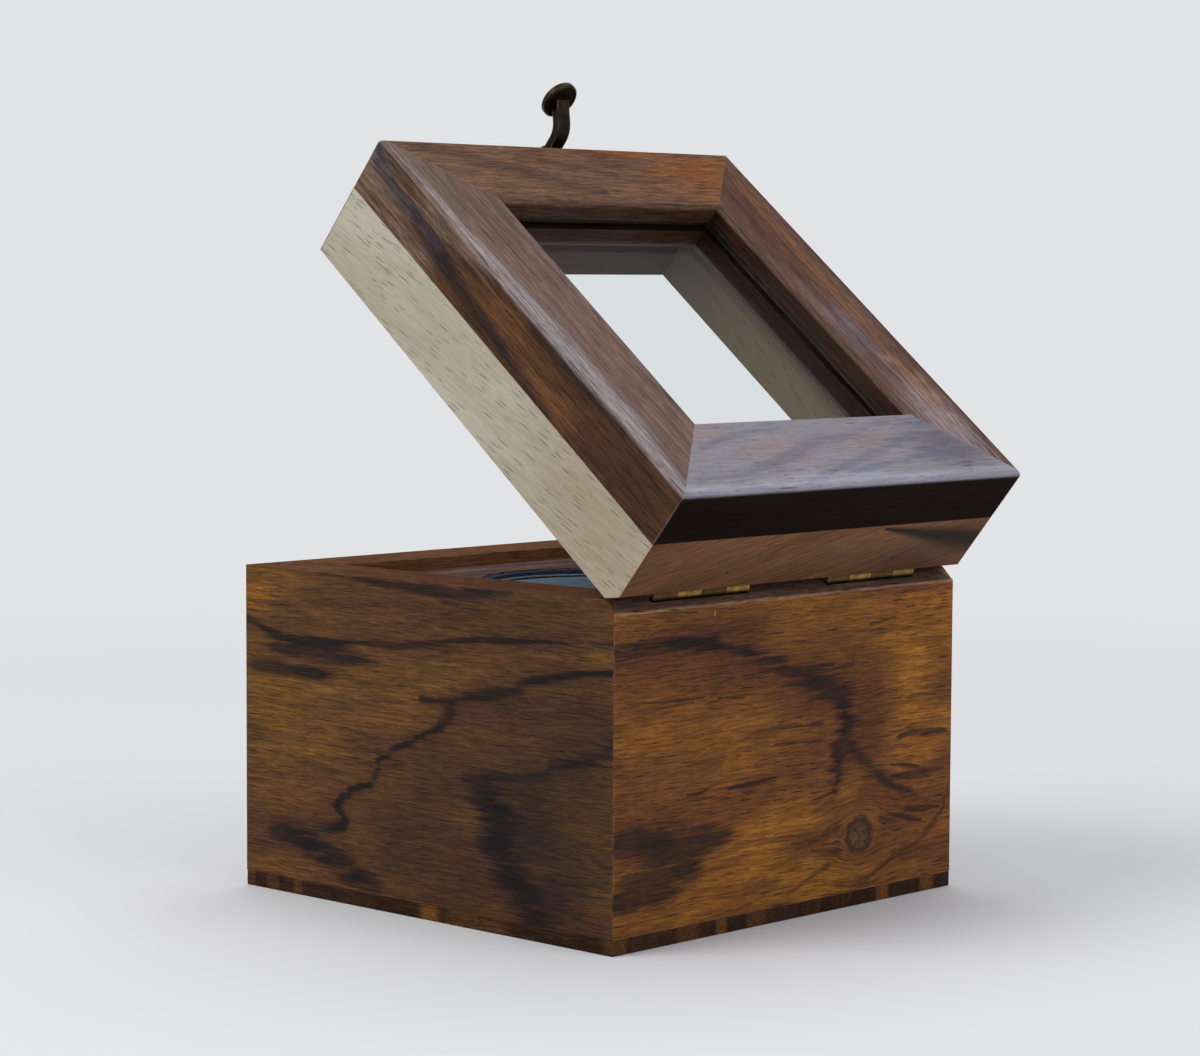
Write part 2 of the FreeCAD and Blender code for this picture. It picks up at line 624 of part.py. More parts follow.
def make_latch():
    nodes["latch_plate"] = oval_plate(LATCH_Z, LATCH_PIVOT_RADIUS)
    nodes["latch_screws"] = group([screw(LATCH_SCREW, head, FRONT) for head in latch_screw_heads(LATCH_Z)])
    nodes["catch_screws"] = group([screw(LATCH_SCREW, head, FRONT) for head in latch_screw_heads(STUD_Z)])
    nodes["latch_pivot"] = headed_pin(
        LATCH_Z, LATCH_PIVOT_RADIUS, RIVET_HEAD_RADIUS, RIVET_HEAD_THICK, HOOK_OUTER + HOOK_PLAY)
    stud = headed_pin(STUD_Z, STUD_RADIUS, STUD_HEAD_RADIUS, STUD_HEAD_THICK, HOOK_OUTER + STUD_PLAY)
    nodes["catch_plate"] = joined([oval_plate(STUD_Z, 0.0), stud])

    arm, tip = hook_arm()
    y0 = -HALF_Y - HOOK_OUTER
    y1 = -HALF_Y - HOOK_INNER
    claw_z = LATCH_Z + HOOK_CLAW_REACH
    eye = rod_y(0, y0, y1, LATCH_Z, HOOK_EYE_RADIUS)
    claw = rod_y(0, y0, y1, claw_z, HOOK_CLAW_RADIUS)
    bottom = BUTTON_THICK - BUTTON_DOME
    edge = BUTTON_RADIUS - BUTTON_DOME / 2
    profile = [
        (0, 0), (edge, 0), (BUTTON_RADIUS, BUTTON_DOME / 2), (BUTTON_RADIUS, bottom),
        (edge, bottom + BUTTON_DOME / 2), (BUTTON_RADIUS / 2, BUTTON_THICK - BUTTON_DOME / 6),
        (0, BUTTON_THICK),
    ]
    button = turned(profile, (0, tip.y + HOOK_THICK / 4, tip.z), FRONT)
    hook = joined([arm, eye, claw, button])
    slot = STUD_RADIUS + STUD_PLAY
    past0 = y0 - OVERCUT
    past1 = y1 + OVERCUT
    far = rod_y(0, past0, past1, LATCH_Z, HOOK_CLAW_REACH + slot)
    near = rod_y(0, past0, past1, LATCH_Z, HOOK_CLAW_REACH - slot)
    mouth = box(0, 2 * HOOK_CLAW_RADIUS, past0, past1, LATCH_Z, claw_z + slot)
    nodes["latch_hook"] = hook.cut([
        rod_y(0, past0, past1, LATCH_Z, LATCH_PIVOT_RADIUS + RUN_PLAY),
        rod_y(0, past0, past1, claw_z, slot),
        far.cut(near).common(mouth),
    ])


# Winding key

def make_key():
    outer = -HALF_X - KEY_FLANGE_THICK
    bush = joined([
        rod_x(-HALF_X, -CAVITY_X, BARREL_Y, ARBOR_Z, KEY_BUSH_RADIUS),
        rod_x(outer, -HALF_X, BARREL_Y, ARBOR_Z, KEY_FLANGE_RADIUS),
    ])
    bore = rod_x(outer - OVERCUT, -CAVITY_X + OVERCUT, BARREL_Y, ARBOR_Z, ARBOR_RADIUS + RUN_PLAY)
    nodes["key_bush"] = bush.cut(bore)

    boss_end = outer - KEY_GAP
    boss_start = boss_end - KEY_BOSS_LENGTH
    bow_x = boss_start - KEY_BOW_RADIUS / 2
    y0 = BARREL_Y - KEY_BOW_THICK / 2
    y1 = BARREL_Y + KEY_BOW_THICK / 2
    shapes = [rod_x(boss_start, boss_end, BARREL_Y, ARBOR_Z, KEY_BOSS_RADIUS)]
    shapes.append(box(bow_x - KEY_BOW_RADIUS / 2, boss_start + KEY_BOW_RADIUS / 2, y0, y1,
                      ARBOR_Z - KEY_BOSS_RADIUS, ARBOR_Z + KEY_BOSS_RADIUS))
    for side in (-1, 1):
        shapes.append(rod_y(bow_x, y0, y1, ARBOR_Z + side * KEY_BOW_REACH, KEY_BOW_RADIUS))
    key = joined(shapes)
    waste = [rod_x(boss_start, boss_end + OVERCUT, BARREL_Y, ARBOR_Z, ARBOR_RADIUS)]
    for side in (-1, 1):
        lobe_z = ARBOR_Z + side * KEY_BOW_REACH
        waste.append(rod_y(bow_x, y0 - OVERCUT, y1 + OVERCUT, lobe_z, KEY_BOW_HOLE))
    nodes["winding_key"] = key.cut(waste)

    barrel_in = BARREL_X + BARREL_COVER + END_PLAY
    barrel_out = BARREL_WHEEL_X - END_PLAY
    nodes["winding_arbor"] = joined([
        rod_x(boss_start, BRIDGE_X + PLATE_THICK, BARREL_Y, ARBOR_Z, ARBOR_RADIUS),
        rod_x(barrel_in, barrel_out, BARREL_Y, ARBOR_Z, ARBOR_HUB_RADIUS),
    ])


# Gears

def tooth_outline(teeth, phase):
    """Closed outline of a spur wheel with straight-sided teeth, as (radius, degrees)."""
    pitch = MODULE * teeth / 2
    root = pitch - MODULE * TOOTH_ROOT
    tip = pitch + MODULE * TOOTH_TIP
    step = 360.0 / teeth
    outline = []
    for index in range(teeth):
        middle = phase + index * step
        outline.append((root, middle - TOOTH_SHARE_ROOT * step))
        outline.append((pitch, middle - TOOTH_SHARE_PITCH * step))
        outline.append((tip, middle - TOOTH_SHARE_TIP * step))
        outline.append((tip, middle + TOOTH_SHARE_TIP * step))
        outline.append((pitch, middle + TOOTH_SHARE_PITCH * step))
        outline.append((root, middle + TOOTH_SHARE_ROOT * step))
    return outline


def spur_wheel(teeth, phase, x0, x1, y, bore):
    points = [polar(radius, angle, y, ARBOR_Z) for radius, angle in tooth_outline(teeth, phase)]
    return prism_x(points, x0, x1).cut(rod_x(x0 - OVERCUT, x1 + OVERCUT, y, ARBOR_Z, bore))


def facing_gap(teeth):
    """Phase that puts a gap of the wheel on its -Y side, facing a tooth of the wheel there."""
    return 180.0 + 180.0 / teeth


def worm_wheel():
    """Wheel with slanted teeth that follow the worm's lead where they meet."""
    slant = WORM_LEAD / (2 * math.pi * WORM_PITCH_RADIUS)
    twist = math.degrees(WORM_WHEEL_THICK / 2 * slant / WORM_WHEEL_RADIUS)
    rims = []
    for x, turn in ((WORM_WHEEL_X, -twist), (WORM_WHEEL_X + WORM_WHEEL_THICK, twist)):
        outline = tooth_outline(WORM_WHEEL_TEETH, turn)
        corners = [FreeCAD.Vector(x, *polar(radius, angle, TRAIN_Y, ARBOR_Z)) for radius, angle in outline]
        rims.append(Part.makePolygon(corners + corners[:1]))
    faces = [Part.Face(rim) for rim in rims]
    for near, far in zip(rims[0].Edges, rims[1].Edges):
        faces.append(Part.makeRuledSurface(near, far))
    shell = Part.Shell(faces)
    shell.sewShape()
    wheel = Part.Solid(shell)
    if wheel.Volume < 0:
        wheel.reverse()
    end = WORM_WHEEL_X + WORM_WHEEL_THICK + OVERCUT
    return wheel.cut(rod_x(WORM_WHEEL_X - OVERCUT, end, TRAIN_Y, ARBOR_Z, TRAIN_ARBOR))


def worm():
    """Right-hand worm as a twisted section, a thread facing +X at the height of the wheel's axis."""
    root = WORM_PITCH_RADIUS - MODULE * TOOTH_ROOT
    step = 360.0 / WORM_STARTS
    outline = []
    for index in range(WORM_STARTS):
        middle = index * step
        outline.append((root, middle - step / 2))
        outline.append((root, middle - (TOOTH_SHARE_ROOT + 0.5) / 2 * step))
        flank = [
            (TOOTH_SHARE_ROOT, root), (TOOTH_SHARE_PITCH, WORM_PITCH_RADIUS), (TOOTH_SHARE_TIP, WORM_TIP),
        ]
        outline += [(radius, middle - share * step) for share, radius in flank]
        outline += [(radius, middle + share * step) for share, radius in reversed(flank)]
        outline.append((root, middle + (TOOTH_SHARE_ROOT + 0.5) / 2 * step))
    count = int(math.ceil(360.0 * WORM_LENGTH / WORM_LEAD / WORM_STEP))
    wires = []
    for index in range(count + 1):
        rise = (index / count - 0.5) * WORM_LENGTH
        turn = 360.0 * rise / WORM_LEAD
        corners = []
        for radius, angle in outline:
            x, y = polar(radius, angle + turn, WORM_X, WORM_Y)
            corners.append(FreeCAD.Vector(x, y, ARBOR_Z + rise))
        wires.append(Part.makePolygon(corners + corners[:1]))
    solid = Part.makeLoft(wires, True, True)
    return solid.cut(rod_z(WORM_X, WORM_Y, ARBOR_Z - WORM_LENGTH, ARBOR_Z + WORM_LENGTH, GOVERNOR_SHAFT))


# Bedplate and bearing plates

def bed_screw_heads():
    x = BED_X - BED_SCREW_MARGIN
    fronts = (BED_FRONT + BED_SCREW_MARGIN, BED_BACK - BED_SCREW_MARGIN)
    return [(side * x, y, SCREW_SINK) for side in (-1, 1) for y in fronts]


def bearing_plate(x0, y0, y1, top, foot_side, bores):
    """Upright plate with a foot, and bores given as (y, radius) at the height of the arbors."""
    x1 = x0 + PLATE_THICK
    cut = PLATE_HALF / 2
    outline = [
        (y0, BED_TOP), (y1, BED_TOP), (y1, top - cut),
        (y1 - cut, top), (y0 + cut, top), (y0, top - cut),
    ]
    foot = (x1, x1 + FOOT_LENGTH) if foot_side > 0 else (x0 - FOOT_LENGTH, x0)
    plate = joined([
        prism_x(outline, x0, x1),
        box(foot[0], foot[1], y0, y1, BED_TOP, BED_TOP + FOOT_THICK),
    ])
    heads = foot_screw_heads(foot, y0, y1)
    waste = [rod_x(x0 - OVERCUT, x1 + OVERCUT, y, ARBOR_Z, radius + RUN_PLAY) for y, radius in bores]
    waste += [screw_hole(FOOT_SCREW, head, UP) for head in heads]
    return plate.cut(waste), heads


def foot_screw_heads(foot, y0, y1):
    margin = FOOT_SCREW[0] + 2 * SCREW_PLAY + FOOT_SCREW_EDGE
    middle = (foot[0] + foot[1]) / 2
    z = BED_TOP + FOOT_THICK - SCREW_SINK
    return [(middle, y0 + margin, z), (middle, y1 - margin, z)]


def make_frame():
    click = click_pivot()
    top = ARBOR_Z + PLATE_HALF
    slim = PLATE_HALF - PLATE_TRIM
    plates = {
        "winding_plate": (
            LEFT_PLATE_X, BARREL_Y - PLATE_HALF, click[0] + PLATE_HALF, click[1] + PLATE_HALF, 1,
            [(BARREL_Y, ARBOR_RADIUS)]),
        "bridge_plate": (
            BRIDGE_X, CYLINDER_Y - PLATE_HALF, BARREL_Y + PLATE_HALF, top, 1,
            [(BARREL_Y, ARBOR_RADIUS), (CYLINDER_Y, CYLINDER_ARBOR)]),
        "governor_plate": (
            RIGHT_PLATE_X, CYLINDER_Y - PLATE_HALF, TRAIN_Y + slim, top, -1,
            [(CYLINDER_Y, CYLINDER_ARBOR), (TRAIN_Y, TRAIN_ARBOR)]),
        "train_post": (
            TRAIN_POST_X, TRAIN_Y - slim, TRAIN_Y + slim, ARBOR_Z + slim, -1,
            [(TRAIN_Y, TRAIN_ARBOR)]),
    }
    heads = []
    for name, values in plates.items():
        nodes[name], found = bearing_plate(*values)
        heads += found
    stud = rod_x(LEFT_PLATE_X, RATCHET_X + RATCHET_THICK, click[0], click[1], CLICK_STUD)
    nodes["winding_plate"] = joined([nodes["winding_plate"], stud])
    frame, frame_heads = governor_frame()
    nodes["governor_frame"] = frame
    heads += frame_heads
    screws = [screw(FOOT_SCREW, head, UP) for head in heads]
    screws += [screw(BED_SCREW, head, DOWN) for head in bed_screw_heads()]
    screws += [screw(COMB_SCREW, head, UP) for head in comb_screw_heads()]
    nodes["movement_screws"] = group(screws)

    bed = box(-BED_X, BED_X, BED_FRONT, BED_BACK, BASE_THICK, BED_TOP)
    waste = [screw_hole(FOOT_SCREW, head, UP) for head in heads]
    waste += [screw_hole(BED_SCREW, head, DOWN) for head in bed_screw_heads()]
    nodes["bedplate"] = bed.cut(waste)


def governor_frame():
    x0 = WORM_X - GOVERNOR_HALF
    x1 = WORM_X + GOVERNOR_HALF
    near = WORM_Y - WORM_TIP
    post0 = POST_Y - GOVERNOR_POST / 2
    post1 = POST_Y + GOVERNOR_POST / 2
    low = ARBOR_Z - WORM_LENGTH / 2 - GOVERNOR_ARM_CLEAR - GOVERNOR_ARM
    high = ARBOR_Z + WORM_LENGTH / 2 + GOVERNOR_ARM_CLEAR
    foot = box(x0, x1, post0, BED_BACK, BED_TOP, BED_TOP + FOOT_THICK)
    frame = joined([
        foot,
        box(x0, x1, post0, post1, BED_TOP, high + GOVERNOR_ARM),
        box(x0, x1, near, post1, low, low + GOVERNOR_ARM),
        box(x0, x1, near, post1, high, high + GOVERNOR_ARM),
    ])
    heads = [(WORM_X, (post1 + BED_BACK) / 2, BED_TOP + FOOT_THICK - SCREW_SINK)]
    waste = [rod_z(WORM_X, WORM_Y, BED_TOP, high + 2 * GOVERNOR_ARM, GOVERNOR_SHAFT + RUN_PLAY)]
    waste += [screw_hole(FOOT_SCREW, head, UP) for head in heads]
    return frame.cut(waste), heads


# Spring barrel, ratchet and click

def mainspring():
    """Flat spiral of half-circle arcs between the arbor's hub and the barrel's wall."""
    inner = ARBOR_HUB_RADIUS + SPRING_PLAY + SPRING_STRIP / 2
    outer = BARREL_RADIUS - BARREL_WALL - SPRING_PLAY - SPRING_STRIP / 2
    pitch = (outer - inner) / (SPRING_TURNS + 0.25)
    x0 = BARREL_X + BARREL_COVER + END_PLAY
    x1 = BARREL_WHEEL_X - END_PLAY

    def half_turns(offset):
        arcs = []
        for index in range(2 * SPRING_TURNS):
            radius = inner + pitch / 4 + index * pitch / 2 + offset
            shift = -pitch / 4 if index % 2 == 0 else pitch / 4
            start = 180.0 * (index % 2)
            ends = [polar(radius, start + turn, BARREL_Y + shift, ARBOR_Z) for turn in (0, 90, 180)]
            arcs.append([FreeCAD.Vector(x0, *end) for end in ends])
        return arcs

    wide = half_turns(SPRING_STRIP / 2)
    slim = half_turns(-SPRING_STRIP / 2)
    edges = [Part.Arc(*points).toShape() for points in wide]
    edges.append(Part.makeLine(wide[-1][2], slim[-1][2]))
    edges += [Part.Arc(*reversed(points)).toShape() for points in reversed(slim)]
    edges.append(Part.makeLine(slim[0][0], wide[0][0]))
    return Part.Face(Part.Wire(edges)).extrude(FreeCAD.Vector(x1 - x0, 0, 0))


def click_pivot():
    return polar(CLICK_REACH, CLICK_ANGLE - CLICK_BACK, BARREL_Y, ARBOR_Z)


def ratchet_wheel():
    step = 360.0 / RATCHET_TEETH
    points = []
    for index in range(RATCHET_TEETH):
        angle = CLICK_ANGLE + index * step
        points.append(polar(RATCHET_ROOT, angle, BARREL_Y, ARBOR_Z))
        points.append(polar(RATCHET_TIP, angle, BARREL_Y, ARBOR_Z))
    wheel = prism_x(points, RATCHET_X, RATCHET_X + RATCHET_THICK)
    return wheel.cut(rod_x(RATCHET_X - OVERCUT, BARREL_X, BARREL_Y, ARBOR_Z, ARBOR_RADIUS))


def ratchet_click():
    """Pawl whose nose stands in front of one steep tooth face, on a stud of the winding plate."""
    pivot = click_pivot()
    nose = CLICK_ANGLE - math.degrees(CLICK_PLAY / RATCHET_TIP)
    high = RATCHET_TIP + CLICK_RISE
    step = 360.0 / RATCHET_TEETH
    back = CLICK_ANGLE - CLICK_BACK
    outline = [
        polar(RATCHET_ROOT + CLICK_TIP_PLAY, nose, BARREL_Y, ARBOR_Z),
        polar(high, nose, BARREL_Y, ARBOR_Z),
        polar(CLICK_REACH + CLICK_EYE, back, BARREL_Y, ARBOR_Z),
        polar(CLICK_REACH - CLICK_EYE, back, BARREL_Y, ARBOR_Z),
        polar(high, nose - CLICK_NOSE_SHARE * step, BARREL_Y, ARBOR_Z),
    ]
    x1 = RATCHET_X + RATCHET_THICK
    pawl = joined([prism_x(outline, RATCHET_X, x1), rod_x(RATCHET_X, x1, pivot[0], pivot[1], CLICK_EYE)])
    return pawl.cut(rod_x(RATCHET_X - OVERCUT, x1 + OVERCUT, pivot[0], pivot[1], CLICK_STUD + RUN_PLAY))


def make_barrel():
    bore = ARBOR_RADIUS + RUN_PLAY
    inner = BARREL_RADIUS - BARREL_WALL
    nodes["barrel_drum"] = tube_x(BARREL_X, BARREL_WHEEL_X, BARREL_Y, ARBOR_Z, BARREL_RADIUS, inner)
    nodes["barrel_cover"] = tube_x(BARREL_X, BARREL_X + BARREL_COVER, BARREL_Y, ARBOR_Z, inner, bore)
    wheel_end = BARREL_WHEEL_X + WHEEL_THICK
    phase = facing_gap(BARREL_TEETH)
    nodes["barrel_wheel"] = spur_wheel(BARREL_TEETH, phase, BARREL_WHEEL_X, wheel_end, BARREL_Y, bore)
    nodes["mainspring"] = mainspring()
    nodes["ratchet_wheel"] = ratchet_wheel()
    nodes["ratchet_click"] = ratchet_click()


# Pinned cylinder and comb

def track_pitch():
    return (DRUM_END - DRUM_X - 2 * CYLINDER_CAP) / COMB_TEETH


def track_x(index):
    return DRUM_X + CYLINDER_CAP + (index + 0.5) * track_pitch()


def make_cylinder():
    inner = CYLINDER_RADIUS - CYLINDER_WALL
    nodes["cylinder_drum"] = tube_x(DRUM_X, DRUM_END, CYLINDER_Y, ARBOR_Z, CYLINDER_RADIUS, inner)
    caps = []
    for x0 in (DRUM_X, DRUM_END - CYLINDER_CAP):
        caps.append(tube_x(x0, x0 + CYLINDER_CAP, CYLINDER_Y, ARBOR_Z, inner, CYLINDER_ARBOR))
    nodes["cylinder_caps"] = group(caps)
    nodes["cylinder_arbor"] = rod_x(
        BARREL_WHEEL_X - PINION_EXTRA, RIGHT_PLATE_X + PLATE_THICK, CYLINDER_Y, ARBOR_Z, CYLINDER_ARBOR)

    pins = []
    for track in range(COMB_TEETH):
        for note in range(PINS_PER_TRACK):
            angle = 360.0 * (track * PIN_TURN + note / PINS_PER_TRACK)
            foot = polar(inner, angle, CYLINDER_Y, ARBOR_Z)
            way = FreeCAD.Vector(0, *polar(1.0, angle))
            length = CYLINDER_WALL + PIN_HEIGHT
            pins.append(Part.makeCylinder(PIN_RADIUS, length, FreeCAD.Vector(track_x(track), *foot), way))
    nodes["cylinder_pins"] = group(pins)
    drilled = [pin.copy() for pin in pins]
    nodes["cylinder_drum"] = nodes["cylinder_drum"].cut(drilled)

    pinion_end = BARREL_WHEEL_X + WHEEL_THICK
    nodes["cylinder_pinion"] = spur_wheel(
        CYLINDER_PINION_TEETH, 0.0, BARREL_WHEEL_X - PINION_EXTRA, pinion_end, CYLINDER_Y, CYLINDER_ARBOR)
    wheel_end = CYLINDER_WHEEL_X + WHEEL_THICK
    nodes["cylinder_wheel"] = spur_wheel(
        CYLINDER_TEETH, 0.0, CYLINDER_WHEEL_X, wheel_end, CYLINDER_Y, CYLINDER_ARBOR)


def comb_screw_heads():
    y = COMB_BACK + COMB_HEEL / 2
    pitch = (DRUM_END - DRUM_X) / COMB_SCREWS
    z = ARBOR_Z + COMB_THICK / 2 - SCREW_SINK
    return [(DRUM_X + (index + 0.5) * pitch, y, z) for index in range(COMB_SCREWS)]


def make_comb():
    bass_y = COMB_TIP - COMB_BASS_LENGTH
    treble_y = COMB_TIP - COMB_TREBLE_LENGTH
    z0 = ARBOR_Z - COMB_THICK / 2
    z1 = ARBOR_Z + COMB_THICK / 2
    comb = box(DRUM_X, DRUM_END, COMB_BACK, COMB_TIP, z0, z1)
    slots = []
    for index in range(COMB_TEETH + 1):
        x = track_x(index) - track_pitch() / 2
        root = bass_y + (treble_y - bass_y) * index / COMB_TEETH
        x0 = x - COMB_SLOT / 2
        x1 = x + COMB_SLOT / 2
        slots.append(box(x0, x1, root, COMB_TIP + OVERCUT, z0 - OVERCUT, z1 + OVERCUT))
    holes = [screw_hole(COMB_SCREW, head, UP) for head in comb_screw_heads()]
    nodes["comb"] = comb.cut(slots + holes)
    plan = [(DRUM_X, COMB_BACK), (DRUM_END, COMB_BACK), (DRUM_END, treble_y), (DRUM_X, bass_y)]
    nodes["comb_base"] = prism_z(plan, BED_TOP, z0).cut(holes)


# Governor

def make_governor():
    pinion_start = CYLINDER_WHEEL_X - PINION_EXTRA
    pinion_end = CYLINDER_WHEEL_X + WHEEL_THICK + PINION_EXTRA
    nodes["train_pinion"] = spur_wheel(
        TRAIN_PINION_TEETH, facing_gap(TRAIN_PINION_TEETH), pinion_start, pinion_end, TRAIN_Y, TRAIN_ARBOR)
    nodes["train_arbor"] = rod_x(TRAIN_POST_X, RIGHT_PLATE_X + PLATE_THICK, TRAIN_Y, ARBOR_Z, TRAIN_ARBOR)
    nodes["worm_wheel"] = worm_wheel()
    low = ARBOR_Z - WORM_LENGTH / 2 - GOVERNOR_ARM_CLEAR - GOVERNOR_ARM
    high = ARBOR_Z + WORM_LENGTH / 2 + GOVERNOR_ARM_CLEAR + GOVERNOR_ARM
    fan_z = high + FAN_GAP
    fan_top = fan_z + FAN_HEIGHT
    nodes["governor_worm"] = group([worm(), rod_z(WORM_X, WORM_Y, low, fan_top, GOVERNOR_SHAFT)])
    half = FAN_BLADE / 2
    fan = joined([
        rod_z(WORM_X, WORM_Y, fan_z, fan_top, FAN_HUB),
        box(WORM_X - FAN_RADIUS, WORM_X + FAN_RADIUS, WORM_Y - half, WORM_Y + half, fan_z, fan_top),
    ])
    bore = rod_z(WORM_X, WORM_Y, fan_z - OVERCUT, fan_top + OVERCUT, GOVERNOR_SHAFT)
    nodes["governor_fan"] = fan.cut(bore)


# The lid's pieces are turned open about the hinge

LID_NODES = ("lid_", "hinge_leaves_lid", "hinge_screws_lid", "latch_")


def open_lid():
    for name in nodes:
        if name.startswith(LID_NODES):
            shape = nodes[name].copy()
            shape.rotate(FreeCAD.Vector(0, HINGE_Y, HINGE_Z), FreeCAD.Vector(-1, 0, 0), LID_OPEN)
            nodes[name] = shape


def main():
    make_case()
    make_deck()
    make_lid()
    make_hinges()
    make_latch()
    make_key()
    make_frame()
    make_barrel()
    make_cylinder()
    make_comb()
    make_governor()
    open_lid()
    os.makedirs("parts", exist_ok=True)
    for name, shape in nodes.items():
        shape.exportStep("parts/" + name + ".step")
    print(len(nodes), "nodes")


main()
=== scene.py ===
import json
import math
from collections import namedtuple

import bmesh
import bpy
from mathutils import Matrix, Vector, noise


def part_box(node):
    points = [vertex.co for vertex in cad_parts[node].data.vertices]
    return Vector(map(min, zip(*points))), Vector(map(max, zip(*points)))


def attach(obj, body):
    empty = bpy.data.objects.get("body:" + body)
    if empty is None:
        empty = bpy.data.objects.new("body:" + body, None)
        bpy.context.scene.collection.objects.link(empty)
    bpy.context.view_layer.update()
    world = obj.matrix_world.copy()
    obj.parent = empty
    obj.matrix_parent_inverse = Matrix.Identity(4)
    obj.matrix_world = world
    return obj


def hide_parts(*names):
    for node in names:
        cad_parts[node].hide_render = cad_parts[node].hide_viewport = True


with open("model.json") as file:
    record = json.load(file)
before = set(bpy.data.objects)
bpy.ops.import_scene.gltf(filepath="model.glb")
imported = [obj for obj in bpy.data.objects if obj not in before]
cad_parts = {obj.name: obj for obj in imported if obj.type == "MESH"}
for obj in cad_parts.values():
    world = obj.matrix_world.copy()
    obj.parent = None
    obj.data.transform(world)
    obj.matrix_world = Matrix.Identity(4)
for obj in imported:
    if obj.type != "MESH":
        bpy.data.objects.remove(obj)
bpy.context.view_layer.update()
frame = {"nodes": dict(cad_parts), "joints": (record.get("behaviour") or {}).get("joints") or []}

MM = 0.001

# The lid's hinge line and how far the lid stands open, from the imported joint
LID_JOINT = next(joint for joint in frame["joints"] if joint["name"] == "lid_hinge")
HINGE_POINT = Vector(LID_JOINT["pos_m"])
LID_OPEN = -math.radians(LID_JOINT["range_deg"][0])

# Turns a point of the open lid to where it lies with the lid shut
SHUT = Matrix.Translation(HINGE_POINT) @ Matrix.Rotation(LID_OPEN, 4, "X") @ Matrix.Translation(-HINGE_POINT)


def shut_points(name):
    """The corners of one of the lid's nodes, with the lid shut."""
    return [SHUT @ corner.co for corner in frame["nodes"][name].data.vertices]


# Heights of the case's rim and of the lid's top when shut, in millimetres
RIM_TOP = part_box("right_wall")[1].z / MM
RAIL_TOP = max(point.z for point in shut_points("lid_rail_front")) / MM

# Inner faces of the lid's tray and of the front wall, in millimetres from the middle, and lines
# a millimetre inside the window's edge
TRAY_SIDE = 42
TRAY_FRONT = 43
FRONT_INSIDE = 37
WINDOW_SIDE = 30
WINDOW_END = 31

# Edges of the boards
BOARD_EASE = 0.22 * MM
EASE_STEPS = 2
EASE_ANGLE = math.radians(40)
WELD_REACH = 0.001 * MM


def paint(red, green, blue):
    """A colour as it looks on a screen, 0 to 255, as linear light."""
    def linear(value):
        value /= 255
        return value / 12.92 if value <= 0.04045 else ((value + 0.055) / 1.055) ** 2.4
    return (linear(red), linear(green), linear(blue), 1.0)


class Bench:
    """Places and links the nodes of one material or one shared effect."""

    def __init__(self, tree):
        self.tree = tree

    def feed(self, socket, value):
        if isinstance(value, bpy.types.NodeSocket):
            self.tree.links.new(value, socket)
        elif value is not None:
            socket.default_value = value

    def place(self, kind, inputs=(), **settings):
        node = self.tree.nodes.new("ShaderNode" + kind)
        for name, value in settings.items():
            setattr(node, name, value)
        named = inputs.items() if isinstance(inputs, dict) else enumerate(inputs)
        for key, value in named:
            self.feed(node.inputs[key], value)
        return node

    def use(self, effect, **values):
        node = self.tree.nodes.new("ShaderNodeGroup")
        node.node_tree = effect
        for label, value in values.items():
            self.feed(node.inputs[label], value)
        return node.outputs

    def calc(self, operation, *values):
        return self.place("Math", values, operation=operation).outputs[0]

    def times(self, *values):
        return self.calc("MULTIPLY", *values)

    def vec(self, operation, *values):
        node = self.place("VectorMath", values, operation=operation)
        single = operation in ("DOT_PRODUCT", "LENGTH")
        return node.outputs["Value" if single else "Vector"]

    def scaled(self, vector, factor):
        return self.vec("SCALE", vector, None, None, factor)

    def split(self, vector):
        return self.place("SeparateXYZ", (vector,)).outputs

    def joined(self, *values):
        return self.place("CombineXYZ", values).outputs[0]

    def span(self, value, low, high, start=0.0, end=1.0):
        node = self.place("MapRange", (value, low, high, start, end), interpolation_type="SMOOTHSTEP")
        return node.outputs[0]

    def blend(self, share, first, second, how="MIX"):
        node = self.place("Mix", data_type="RGBA", blend_type=how)
        for key, value in ((0, share), (6, first), (7, second)):
            self.feed(node.inputs[key], value)
        return node.outputs[2]

    def noise(self, place, detail=2.0, rough=0.5, output="Fac"):
        inputs = {"Vector": place, "Scale": 1.0, "Detail": detail, "Roughness": rough}
        return self.place("TexNoise", inputs).outputs[output]

    def bump(self, height, strength, depth):
        inputs = {"Strength": strength, "Distance": depth, "Height": height}
        return self.place("Bump", inputs).outputs[0]


# Kinds of socket: v carries a place or a direction, f a single value
SOCKETS = {"v": "NodeSocketVector", "f": "NodeSocketFloat"}


def effect(name, takes, gives):
    """Makes a shared effect from the function under it: a node group with named sockets."""
    def wrap(build):
        tree = bpy.data.node_groups.new(name, "ShaderNodeTree")
        for direction, labels in (("INPUT", takes), ("OUTPUT", gives)):
            for label, kind in labels.items():
                tree.interface.new_socket(label, in_out=direction, socket_type=SOCKETS[kind])
        bench = Bench(tree)
        entry = tree.nodes.new("NodeGroupInput").outputs
        leave = tree.nodes.new("NodeGroupOutput").inputs
        for label, value in build(bench, entry).items():
            bench.feed(leave[label], value)
        return tree
    return wrap


# How often each pattern changes per millimetre: along, across and into the board, or the same every way
BEND_RATE = (0.02, 0.06, 0.06)
RAG_RATE = (0.05, 0.42, 0.42)
DRIFT_RATE = (0.009, 0.016, 0.016)
WEAR_RATE = (0.12, 0.5, 0.5)
BRUSH_RATE = (0.15, 7.0, 7.0)
KNOT_WOBBLE_RATE = 0.4
KNOT_CRACK_RATE = 1.3
TARNISH_RATE = 0.45
FLECK_RATE = 2.6
CLOUD_RATE = 0.16
CURL_RATE = 0.8
NAP_RATE = 2.4

# Leaves out depth, so that a mark runs straight into the board
FLAT = (1.0, 1.0, 0.0)


